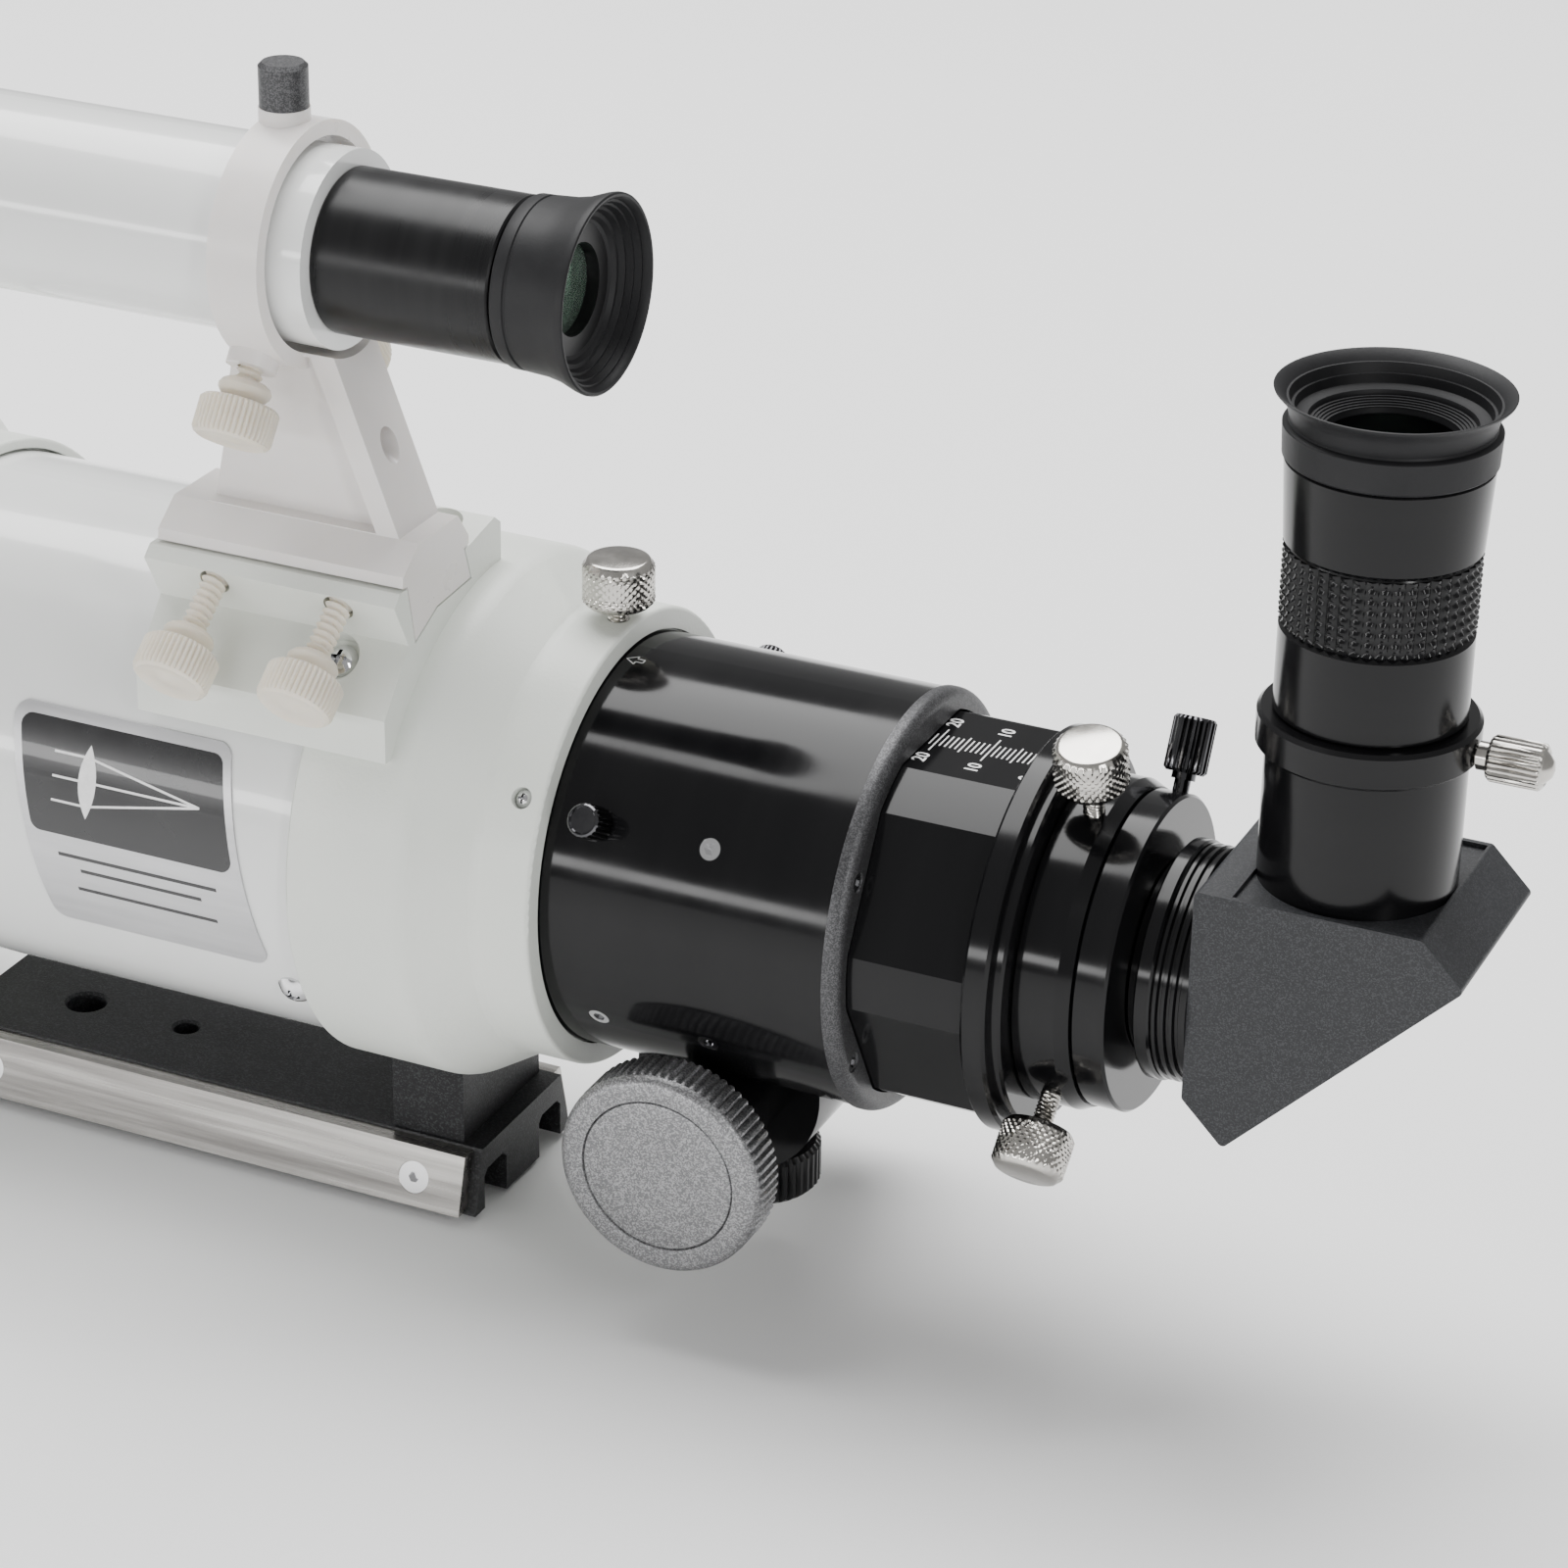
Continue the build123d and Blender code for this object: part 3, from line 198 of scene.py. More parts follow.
# black texture: the last colour is painted glint on the brighter grains
MAT["black_texture"] = grains_and_painted_glints(
    finish("black_texture", (0.012, 0.012, 0.013), (0.02, 0.02, 0.021), (0.38, 0.5),
           grain=2600, grain_strength=0.3, grain_depth=0.0001, specular=0.3),
    3400, (0.010, 0.010, 0.011), (0.035, 0.036, 0.038), 0.35, 0.0001, (0.55, 0.95))
# diagonal black: the last colour is painted glint on the brighter grains
MAT["diagonal_black"] = grains_and_painted_glints(
    finish("diagonal_black", (0.02, 0.021, 0.023), (0.03, 0.031, 0.034), (0.38, 0.48),
           grain=3800, grain_strength=0.2, grain_depth=0.00005, specular=0.3),
    4600, (0.020, 0.021, 0.023), (0.045, 0.046, 0.05), 0.2, 0.00005, (0.5, 0.95))
MAT["nickel"] = finish("nickel", (0.50, 0.48, 0.45), (0.62, 0.60, 0.56), (0.14, 0.24), 1.0,
                       grain=1800, grain_strength=0.08, grain_depth=0.00005, cloud=220)
MAT["chrome"] = finish("chrome", (0.74, 0.74, 0.75), (0.82, 0.82, 0.83), (0.05, 0.10), 1.0,
                       grain=900, grain_strength=0.03, grain_depth=0.00004, cloud=120)
MAT["black_chrome"] = finish("black_chrome", (0.07, 0.07, 0.075), (0.12, 0.12, 0.125),
                             (0.08, 0.16), 1.0, grain=1500, grain_strength=0.1,
                             grain_depth=0.00005, cloud=200)
MAT["brass"] = finish("brass", (0.58, 0.42, 0.16), (0.68, 0.52, 0.24), (0.2, 0.32), 1.0,
                      grain=1500, grain_strength=0.1, grain_depth=0.00005, cloud=160)
MAT["rubber"] = finish("rubber", (0.008, 0.008, 0.009), (0.013, 0.013, 0.014), (0.45, 0.56),
                       grain=1600, grain_strength=0.18, grain_depth=0.0001, cloud=90,
                       specular=0.25)
MAT["pad"] = finish("pad", (0.7, 0.7, 0.66), (0.78, 0.78, 0.75), (0.45, 0.6), grain=900,
                    grain_strength=0.1, grain_depth=0.0001)
MAT["paint_white"] = finish("paint_white", (0.78, 0.78, 0.78), (0.9, 0.9, 0.9), (0.4, 0.55),
                            grain=3000, grain_strength=0.1, grain_depth=0.00003, cloud=700)
MAT["panel_black"] = finish("panel_black", (0.010, 0.010, 0.011), (0.016, 0.016, 0.017),
                            (0.22, 0.3), coat=0.4, grain=900, grain_strength=0.04,
                            grain_depth=0.00005, cloud=60)
MAT["matte_black"] = finish("matte_black", (0.008, 0.008, 0.008), (0.014, 0.014, 0.014),
                            (0.6, 0.75), grain=1500, grain_strength=0.15, grain_depth=0.0001,
                            specular=0.25)


def soft_plastic(name, dark, light, rough, scatter, grain_strength):
    """Slightly translucent moulded plastic."""
    mat = finish(name, dark, light, rough, grain=700, grain_strength=grain_strength,
                 grain_depth=0.0001, cloud=40)
    shader = mat.node_tree.nodes["Principled BSDF"]
    shader.inputs["Subsurface Weight"].default_value = scatter
    shader.inputs["Subsurface Radius"].default_value = (1.0, 0.8, 0.5)
    shader.inputs["Subsurface Scale"].default_value = 0.002
    return mat


MAT["nylon"] = soft_plastic("nylon", (0.70, 0.64, 0.54), (0.78, 0.73, 0.63), (0.36, 0.48),
                            0.35, 0.15)
MAT["bracket"] = soft_plastic("bracket", (0.72, 0.69, 0.67), (0.78, 0.75, 0.73), (0.26, 0.36),
                              0.15, 0.06)


def brushed():
    """Stainless strip: lengthwise brushing, slide marks and faint smudges."""
    mat = finish("brushed_steel", (0.22, 0.21, 0.20), (0.62, 0.60, 0.57), (0.2, 0.36), 1.0,
                 grain=2600, grain_strength=0.22, grain_depth=0.00006, cloud=240,
                 stretch=(0.03, 1, 1))
    tree = mat.node_tree
    shader = tree.nodes["Principled BSDF"]
    across = coordinates(tree, (1, 0.1, 0.12))
    marks = noise(tree, across, 900, 2.0, 0.8)
    bump(tree, shader, ramp(tree, marks, 0, 1, 0.62, 0.7), 0.25, 0.00005)
    return mat


MAT["brushed"] = brushed()


def clear_glass(name, colour, coat_tint):
    """Coated optical glass."""
    mat, tree, shader = new_material(name)
    shader.inputs["Transmission Weight"].default_value = 0.92
    shader.inputs["IOR"].default_value = 1.5
    shader.inputs["Coat Weight"].default_value = 1.0
    shader.inputs["Coat Tint"].default_value = (*coat_tint, 1)
    haze = noise(tree, coordinates(tree), 25, 3.0, 0.5)
    tree.links.new(tint(tree, haze, colour, tuple(0.94 * c for c in colour)),
                   shader.inputs["Base Color"])
    tree.links.new(ramp(tree, haze, 0.0, 0.008, 0.4, 0.9), shader.inputs["Roughness"])
    return mat


MAT["glass"] = clear_glass("glass", (0.88, 0.93, 0.90), (0.75, 0.9, 0.8))
MAT["mirror"] = finish("mirror", (0.86, 0.87, 0.88), (0.9, 0.91, 0.92), (0.01, 0.03), 1.0, cloud=20)

FINISH_OF = {
    "enamel": ["dew_shield", "main_tube", "finder_tube"],
    "orange_peel": ["front_casting", "rear_adapter", "finder_shoe"],
    "glass": ["crown_lens", "flint_lens", "eyepiece_lenses", "finder_lenses"],
    "matte_black": ["objective_cell", "retaining_ring", "tube_baffles", "focuser_retainer"],
    "chrome": ["collar_screws", "inlay_screws", "eyepiece_barrel", "end_ring_screws",
               "guide_set_screws"],
    "black_texture": ["dovetail_rail", "rear_foot"],
    "brushed": ["rail_inlays", "pinion_shaft"],
    "black_chrome": ["foot_bolts"],
    "gloss_black": ["focuser_body", "drawtube", "drawtube_flange", "eyepiece_holder", "reducer",
                    "diagonal_nosepiece", "pinion_housing"],
    "upright_black": ["diagonal_socket"],
    "blasted_grey": ["end_ring", "spring_plunger"],
    "pad": ["guide_pads"],
    "brass": ["rack", "compression_ring"],
    "diagonal_black": ["diagonal_housing", "diagonal_cover"],
    "mirror": ["diagonal_mirror"],
    "rubber": ["finder_eyecup", "eyepiece_eyecup"],
    "bracket": ["finder_bracket"],
    "turned_black": ["finder_eyepiece"],
}


def dress(obj, mat):
    """Gives every face of an object one material."""
    if obj.material_slots:
        for slot in obj.material_slots:
            slot.material = mat
    else:
        obj.data.materials.append(mat)


BEVELS = {"finder_bracket": 0.6, "finder_shoe": 0.45, "rear_foot": 0.4, "dovetail_rail": 0.35,
          "rail_inlays": 0.5, "diagonal_cover": 0.3, "rear_adapter": 0.2,
          "focuser_body": 0.2, "drawtube": 0.25, "eyepiece_holder": 0.15, "reducer": 0.15}


def soften(obj, width):
    """Small rounded edges on a CAD node."""
    mod = obj.modifiers.new("edge", "BEVEL")
    mod.width = width * MM
    mod.segments = 2
    mod.limit_method = "ANGLE"
    mod.angle_limit = math.radians(40)
    mod.harden_normals = False
    mod.use_clamp_overlap = True


for finish_name, names in FINISH_OF.items():
    for node_name in names:
        dress(NODES[node_name], MAT[finish_name])

# ---------------------------------------------------------------- mesh helpers


def place(direction, origin, up=UP):
    """Matrix that puts local Z along a direction, with local Y near 'up'."""
    z = Vector(direction).normalized()
    if abs(z.dot(up)) > 0.98:
        up = AFT
    x = Vector(up).cross(z).normalized()
    y = z.cross(x)
    return Matrix.Translation(origin) @ Matrix((x, y, z)).transposed().to_4x4()


def keep(name, mesh, matrix, mat, body, smooth=35):
    """Makes an object from a mesh, finished and riding on a body."""
    obj = bpy.data.objects.new(name, mesh)
    bpy.context.scene.collection.objects.link(obj)
    obj.matrix_world = matrix
    if smooth:
        for poly in mesh.polygons:
            poly.use_smooth = True
        mesh.set_sharp_from_angle(angle=math.radians(smooth))
    mesh.materials.append(mat)
    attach(obj, body)
    return obj


def wave(t):
    """Triangle wave: 0 in a groove, 1 on a crest."""
    return 1 - abs(2 * (t - math.floor(t)) - 1)


def relief(kind, angle, along, radius, teeth, pitch):
    """Height of a knurl or thread, from 0 in its groove to 1 on its crest."""
    turn = angle / (2 * math.pi)
    if kind == "straight":
        return min(1.0, 1.6 * wave(turn * teeth))
    if kind == "thread":
        return wave(turn + along / pitch)
    around = turn * teeth
    if kind == "diamond":
        climb = along * teeth / (2 * math.pi * radius)
        return min(wave(around + climb), wave(around - climb))
    return min(wave(around), wave(along / pitch))


def lathe(name, matrix, profile, mat, body, bands=(), segments=96):
    """Turned piece. profile is (along, radius) in mm, and a band is a stretch of the profile
    with relief: (start, end, kind, teeth, pitch, depth, steps)."""
    rows = []
    for (a0, r0), (a1, r1) in zip(profile, profile[1:]):
        band = next((b for b in bands if min(a0, a1) >= b[0] - 1e-6 and max(a0, a1) <= b[1] + 1e-6
                     and abs(a1 - a0) > 1e-6), None)
        steps = band[6] if band else 1
        for step in range(steps):
            t = step / steps
            rows.append((a0 + t * (a1 - a0), r0 + t * (r1 - r0), band))
    rows.append((*profile[-1], None))
    # the last ring of a band has its relief too
    for index in range(len(rows) - 1, 0, -1):
        if rows[index][2] is None:
            rows[index] = (*rows[index][:2], rows[index - 1][2])
    mesh = bpy.data.meshes.new(name)
    bm = bmesh.new()
    rings = []
    for along, radius, band in rows:
        if radius < 1e-6:
            rings.append([bm.verts.new((0, 0, along * MM))])
            continue
        ring = []
        for k in range(segments):
            angle = 2 * math.pi * k / segments
            r = radius
            if band:
                _, _, kind, teeth, pitch, depth, _ = band
                r -= depth * (1 - relief(kind, angle, along, radius, teeth, pitch))
            ring.append(bm.verts.new((r * MM * math.cos(angle), r * MM * math.sin(angle),
                                      along * MM)))
        rings.append(ring)
    for low, high in zip(rings, rings[1:]):
        for k in range(segments):
            n = (k + 1) % segments
            if len(low) == 1 and len(high) == 1:
                break
            if len(low) == 1:
                bm.faces.new((low[0], high[n], high[k]))
            elif len(high) == 1:
                bm.faces.new((low[k], low[n], high[0]))
            else:
                bm.faces.new((low[k], low[n], high[n], high[k]))
    bmesh.ops.recalc_face_normals(bm, faces=bm.faces)
    bm.to_mesh(mesh)
    bm.free()
    return keep(name, mesh, matrix, mat, body)


# ---------------------------------------------------------------- thumbscrews and knobs


def nickel_screw(name, node, body, origin, direction, tip, head, top, head_r, shank_r):
    """Nickel thumbscrew: threaded shank and a diamond-knurled head with a bevelled top."""
    profile = [(tip, 0), (tip, shank_r - 0.4), (tip + 0.5, shank_r), (head - 0.4, shank_r),
               (head - 0.4, head_r * 0.5), (head, head_r * 0.5), (head, head_r - 0.9),
               (head + 0.9, head_r), (top - 1.3, head_r), (top - 0.5, head_r - 0.8),
               (top - 0.15, head_r - 1.1), (top, head_r - 1.6), (top, 0)]
    bands = [(tip + 0.5, head - 0.4, "thread", 1, 0.7, 0.32, int((head - tip) * 5)),
             (head + 0.9, top - 1.3, "diamond", 30, 0, 0.45, 20)]
    obj = lathe(name, place(direction, origin), profile, MAT["nickel"], body, bands, 120)
    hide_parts(node)


def slim_screw(name, node, body, origin, direction, rows, grip, teeth, mat):
    """Slim thumbscrew with a straight-knurled head."""
    bands = [(*grip, "straight", teeth, 0, 0.38, 2)]
    obj = lathe(name, place(direction, origin), rows, mat, body, bands, teeth * 6)
    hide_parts(node)


HOLDER_X = middle("compression_ring").x
nickel_screw("collar_thumbscrew_piece", "collar_thumbscrew", "collar_lock",
             station(middle("collar_thumbscrew").x), outward(0), 38.7, 46.8, 55.8, 6.8, 2.0)
for word, angle in (("upper", 15), ("lower", 132)):
    nickel_screw("holder_thumbscrew_%s_piece" % word, "holder_thumbscrew_" + word,
                 "holder_clamp_" + word, station(HOLDER_X), outward(angle),
                 26.6, 36.6, 45.6, 6.8, 1.95)

LOCK_X = middle("lock_thumbscrew_near").x
for word, angle in (("near", 60), ("far", -60)):
    slim_screw("lock_thumbscrew_%s_piece" % word, "lock_thumbscrew_" + word,
               "focuser_lock_" + word, station(LOCK_X), outward(angle),
               [(35.75, 0), (35.75, 2.0), (39.4, 2.0), (39.4, 2.9), (39.8, 3.2), (45.7, 3.2),
                (46.1, 3.0), (46.4, 2.7), (46.4, 2.5), (46.1, 2.3), (46.1, 0)],
               (39.8, 45.7), 20, MAT["black_chrome"])

REDUCER_X = middle("reducer_thumbscrew").x
slim_screw("reducer_thumbscrew_piece", "reducer_thumbscrew", "reducer_clamp",
           station(REDUCER_X), outward(-28),
           [(16.3, 0), (16.3, 1.5), (29.5, 1.5), (31.2, 1.5), (31.2, 2.2), (32.4, 2.2), (32.4, 3.4),
            (33.0, 4.0), (42.0, 4.0), (42.6, 3.5), (42.6, 3.2), (42.2, 2.8), (42.2, 0)],
           (33.0, 42.0), 22, MAT["black_chrome"])

SOCKET_THUMB = Vector((middle("diagonal_socket").x, 0, middle("socket_thumbscrew").z))
slim_screw("socket_thumbscrew_piece", "socket_thumbscrew", "socket_clamp", SOCKET_THUMB, AFT,
           [(16.3, 0), (16.3, 1.5), (19.6, 1.5), (19.6, 2.5), (21.6, 2.5), (21.6, 3.6),
            (22.2, 4.1), (30.6, 4.1), (31.0, 3.8), (31.3, 3.3), (31.1, 2.9), (31.6, 2.5),
            (32.5, 1.5), (32.9, 0)],
           (22.2, 30.6), 24, MAT["nickel"])


def nylon_screw(name, node, body, origin, direction, tip, head, top, collar):
    """Ivory nylon screw with a coarse thread and a fluted head."""
    profile = [(tip, 0), (tip, 1.6), (tip + 0.8, 2.5), (head - 0.4, 2.5), (head - 0.4, 4.0),
               (head, 4.0), (head, 6.6), (head + 0.6, 7.2), (top - 1.2, 7.2), (top - 0.5, 6.8),
               (top - 0.1, 6.1), (top - 0.3, 5.5), (top - 0.5, 4.8), (top - 0.5, 2.4),
               (top - 0.15, 1.6), (top - 0.1, 0)]
    bands = [(tip + 0.8, head - 0.4, "thread", 1, 1.45, 0.75, int((head - tip) * 5)),
             (head + 0.6, top - 1.0, "straight", 44, 0, 0.5, 2)]
    obj = lathe(name, place(direction, origin), profile, MAT["nylon"], body, bands, 220)
    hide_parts(node)
    span = head - 0.3 - collar
    lathe(name + "_nut", place(direction, origin),
          [(collar, 2.3), (collar, 3.6), (collar + 0.12 * span, 4.3),
           (collar + 0.35 * span, 4.8), (collar + 0.55 * span, 4.7),
           (collar + 0.8 * span, 4.0), (collar + span, 3.3), (collar + span, 2.3)],
          MAT["nylon"], body, (), 64)


CLAMP = Vector((0, -0.791, -0.611)).normalized()
for word in ("front", "rear"):
    x = middle("shoe_thumbscrew_" + word).x
    nylon_screw("shoe_thumbscrew_%s_piece" % word, "shoe_thumbscrew_" + word,
                "shoe_clamp_" + word, Vector((x, -0.041, AXIS_Z + 0.052)), CLAMP,
                -6.5, 11.6, 18.6, 7.6)

FINDER = middle("finder_eyepiece")
ALIGN_X = middle("align_screw_near").x
for word, angle in (("near", 144), ("far", -144)):
    nylon_screw("align_screw_%s_piece" % word, "align_screw_" + word, "aim_screw_" + word,
                Vector((ALIGN_X, FINDER.y, FINDER.z)), outward(angle), 18.1, 30.6, 37.8, 26.6)

F_EYE = Vector((0, FINDER.y, FINDER.z))
finder_cup = lathe("finder_eyecup_piece", place(AFT, F_EYE),
                   [(76.8, 13.45), (76.8, 15.0), (77.2, 15.25), (79.2, 15.3), (79.4, 15.05),
                    (79.8, 15.05), (80.0, 15.35), (84.0, 15.6), (87.0, 16.2), (90.2, 17.4),
                    (91.2, 17.65), (91.7, 17.6), (91.9, 17.3), (91.8, 16.9), (91.2, 16.4),
                    (90.4, 16.2), (90.4, 15.8), (89.2, 15.4), (89.2, 15.0), (88.0, 14.6),
                    (88.0, 14.1), (87.0, 13.6), (87.0, 12.8), (86.2, 12.2), (86.0, 11.5),
                    (86.0, 13.45)],
                   MAT["rubber"], "finder", (), 128)
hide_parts("finder_eyecup")

TENSION = Vector((middle("tension_knob").x, 0, 0))
tension = lathe("tension_knob_piece", place(UP, TENSION),
                [(13.0, 0), (13.0, 6.0), (13.4, 6.4), (13.0, 6.8), (13.0, 10.6), (13.9, 11.5),
                 (21.1, 11.5), (22.0, 10.6), (22.0, 3.0), (28.9, 3.0), (28.9, 0)],
                MAT["turned_black"], "tension",
                [(13.9, 21.1, "straight", 40, 0, 0.7, 2)], 240)
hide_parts("tension_knob")

KNOB = middle("pinion_shaft")
for index, side in enumerate((-1, 1)):
    at = place(SIDE * side, Vector((KNOB.x, 0, KNOB.z)))
    rim = lathe("focus_knob_rim_%d" % index, at,
                [(32, 3.0), (32, 9.5), (34.8, 9.5), (34.8, 18.4), (35.9, 20.0), (42.4, 20.0),
                 (43.2, 19.5), (43.5, 19.9), (44.0, 19.75), (44.7, 18.9), (45.0, 18.2),
                 (45.0, 15.15), (44.55, 14.95), (44.9, 14.7), (45.0, 14.4), (45.0, 8), (45.0, 0)],
                MAT["blasted_silver"], "pinion",
                [(35.9, 42.4, "straight", 72, 0, 0.55, 2)], 432)
    if side < 0:
        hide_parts("focus_knobs")

# ---------------------------------------------------------------- screws with cross recesses


def cross_screw(name, matrix, top, radius, body, mat):
    """Domed screw head with a cross recess cut into it."""
    bm = bmesh.new()
    rings = 10
    segments = 48
    rows = []
    for i in range(rings + 1):
        r = radius * i / rings
        z = top - 1.7 * (i / rings) ** 2.2
        rows.append([bm.verts.new((r * MM * math.cos(2 * math.pi * k / segments),
                                   r * MM * math.sin(2 * math.pi * k / segments), z * MM))
                     for k in range(segments)] if i else [bm.verts.new((0, 0, z * MM))])
    skirt = [bm.verts.new((v.co.x, v.co.y, (top - 2.4) * MM)) for v in rows[-1]]
    rows.append(skirt)
    for low, high in zip(rows, rows[1:]):
        for k in range(segments):
            n = (k + 1) % segments
            if len(low) == 1:
                bm.faces.new((low[0], high[k], high[n]))
            else:
                bm.faces.new((low[k], high[k], high[n], low[n]))
    bm.faces.new(skirt[::-1])
    bmesh.ops.recalc_face_normals(bm, faces=bm.faces)
    mesh = bpy.data.meshes.new(name)
    bm.to_mesh(mesh)
    bm.free()
    obj = keep(name, mesh, matrix, mat, body)
    cutter_bm = bmesh.new()
    arm, half = radius * 0.62, radius * 0.13
    outline = [(half, arm), (half, half), (arm, half), (arm, -half), (half, -half), (half, -arm),
               (-half, -arm), (-half, -half), (-arm, -half), (-arm, half), (-half, half),
               (-half, arm)]
    upper = [cutter_bm.verts.new((x * MM, y * MM, (top + 0.5) * MM)) for x, y in outline]
    lower = [cutter_bm.verts.new((x * 0.55 * MM, y * 0.55 * MM, (top - 1.5) * MM))
             for x, y in outline]
    cutter_bm.faces.new(upper[::-1])
    cutter_bm.faces.new(lower)
    for k in range(12):
        n = (k + 1) % 12
        cutter_bm.faces.new((upper[k], upper[n], lower[n], lower[k]))
    bmesh.ops.recalc_face_normals(cutter_bm, faces=cutter_bm.faces)
    cutter_mesh = bpy.data.meshes.new(name + "_cut")
    cutter_bm.to_mesh(cutter_mesh)
    cutter_bm.free()
    cutter = bpy.data.objects.new(name + "_cut", cutter_mesh)
    bpy.context.scene.collection.objects.link(cutter)
    cutter.matrix_world = matrix
    mod = obj.modifiers.new("recess", "BOOLEAN")
    mod.object = cutter
    mod.operation = "DIFFERENCE"
    mod.solver = "EXACT"
    bpy.context.view_layer.update()
    graph = bpy.context.evaluated_depsgraph_get()
    cut = bpy.data.meshes.new_from_object(obj.evaluated_get(graph))
    obj.modifiers.clear()
    obj.data = cut
    cut.set_sharp_from_angle(angle=math.radians(30))
    bpy.data.objects.remove(cutter)
    return obj


def tube_point(x, angle, radius):
    """Matrix standing on the tube's surface at a station and angle."""
    return place(outward(angle), station(x) + outward(angle) * radius * MM, AFT)


TUBE_FACE_R = 48.7       # where the tube screws and the nameplate's print stand
SCREW_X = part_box("main_tube")[1].x - 0.0035
for index, angle in enumerate((119, -1, -121)):
    cross_screw("tube_screw_%d" % index, tube_point(SCREW_X, angle, TUBE_FACE_R),
                             2.0, 3.4, "optical_tube", MAT["chrome"])
for index, (x, angle, seat) in enumerate(((0.045, 41.0, 56.0), (0.049, 6.8, 54.0))):
    cross_screw("shoe_screw_%d" % index, tube_point(x, angle, seat), 2.05, 3.2,
                             "optical_tube", MAT["chrome"])
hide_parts("chrome_screws")
COLLAR_SCREW_X = middle("collar_screws").x
for index, angle in enumerate((58, 178, -62)):
    cross_screw("collar_screw_%d" % index, tube_point(COLLAR_SCREW_X, angle, 41.8),
                             1.75, 1.9, "optical_tube", MAT["chrome"])
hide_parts("collar_screws")

# ---------------------------------------------------------------- engraved scale and marks


def slab(bm, x0, x1, y0, y1, z):
    """Thin raised filling for an engraved line."""
    depth = 0.03 * MM
    low = [bm.verts.new((x, y, z - depth)) for x, y in ((x0, y0), (x1, y0), (x1, y1), (x0, y1))]
    high = [bm.verts.new((v.co.x, v.co.y, z + depth)) for v in low]
    bm.faces.new(low[::-1])
    bm.faces.new(high)
    for k in range(4):
        n = (k + 1) % 4
        bm.faces.new((low[k], low[n], high[n], high[k]))


FLAT_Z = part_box("drawtube")[1].z
SCALE_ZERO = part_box("drawtube")[1].x - 0.0007
MARK_HALF = 0.14         # half width of a scale mark
LONG_MARK, MIDDLE_MARK, SHORT_MARK = 4.75, 3.2, 2.3
NUMBER_SIDE, NUMBER_SIZE = 7.9, 3.6
scale_mesh = bpy.data.meshes.new("scale_marks")
bm = bmesh.new()
for mm in range(0, 101):
    half = LONG_MARK if mm % 10 == 0 else (MIDDLE_MARK if mm % 5 == 0 else SHORT_MARK)
    x = SCALE_ZERO - mm * MM
    slab(bm, x - MARK_HALF * MM, x + MARK_HALF * MM, -half * MM, half * MM, FLAT_Z)
bm.to_mesh(scale_mesh)
bm.free()
keep("scale_marks", scale_mesh, Matrix.Identity(4), MAT["paint_white"], "drawtube_assembly",
     0)


def text_mesh(name, words, size, matrix, mat, body):
    """Thin solid lettering for scale numbers."""
    curve = bpy.data.curves.new(name + "_curve", "FONT")
    curve.body = words
    curve.size = size
    curve.extrude = 0.03 * MM
    curve.offset = 0.05 * MM
    curve.align_x = "CENTER"
    curve.align_y = "CENTER"
    curve.resolution_u = 4
    holder = bpy.data.objects.new(name + "_text", curve)
    bpy.context.scene.collection.objects.link(holder)
    bpy.context.view_layer.update()
    graph = bpy.context.evaluated_depsgraph_get()
    mesh = bpy.data.meshes.new_from_object(holder.evaluated_get(graph))
    bpy.data.objects.remove(holder)
    mesh.materials.clear()
    return keep(name, mesh, matrix, mat, body, 0)


ACROSS = Matrix((SIDE, -AFT, UP)).transposed().to_4x4()
for tens in range(0, 11):
    x = SCALE_ZERO - tens * 10 * MM
    for index, side in enumerate((-1, 1)):
        text_mesh("scale_number_%d_%d" % (tens * 10, index), str(tens * 10),
                  NUMBER_SIZE * MM,
                  Matrix.Translation((x, side * NUMBER_SIDE * MM, FLAT_Z)) @ ACROSS,
                  MAT["paint_white"], "drawtube_assembly")

# ---------------------------------------------------------------- eyepiece grip
EYE = Vector((middle("eyepiece_body").x, 0, 0))
EYE_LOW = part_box("eyepiece_body")[0].z / MM
A = AXIS_Z / MM
GRIP_LOW, GRIP_TOP, CUP_LOW = A + 71.8, A + 85.9, A + 101.4
ROW = (GRIP_TOP - GRIP_LOW - 0.6) / 7
grip = lathe("eyepiece_grip", place(UP, EYE),
             [(EYE_LOW, 15.0), (EYE_LOW, 16.2), (EYE_LOW + 0.5, 16.7), (GRIP_LOW - 0.8, 16.7),
              (GRIP_LOW - 0.1, 16.0), (GRIP_LOW + 0.3, 16.2), (GRIP_LOW + 0.3, 17.1),
              (GRIP_TOP - 0.3, 17.1), (GRIP_TOP - 0.3, 16.2), (GRIP_TOP, 16.1),
              (GRIP_TOP + 0.8, 16.9), (CUP_LOW - 0.5, 17.7), (CUP_LOW - 0.1, 17.3),
              (CUP_LOW - 0.1, 15.2), (CUP_LOW + 3.5, 15.2), (CUP_LOW + 3.5, 11.0),
              (CUP_LOW - 4.0, 11.0), (CUP_LOW - 4.0, 12.5), (A + 60, 12.5)],
             MAT["upright_black"], "eyepiece",
             [(GRIP_LOW + 0.3, GRIP_TOP - 0.3, "pyramid", 46, ROW, 0.95, 28)], 184)
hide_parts("eyepiece_body")
CUP_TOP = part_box("eyepiece_eyecup")[1].z / MM
inside = []
for step in range(6):
    low, radius = CUP_LOW + 6.0 - 0.28 * step, 13.9 - 0.5 * step
    inside += [(low, radius), (low - 0.28, radius)]
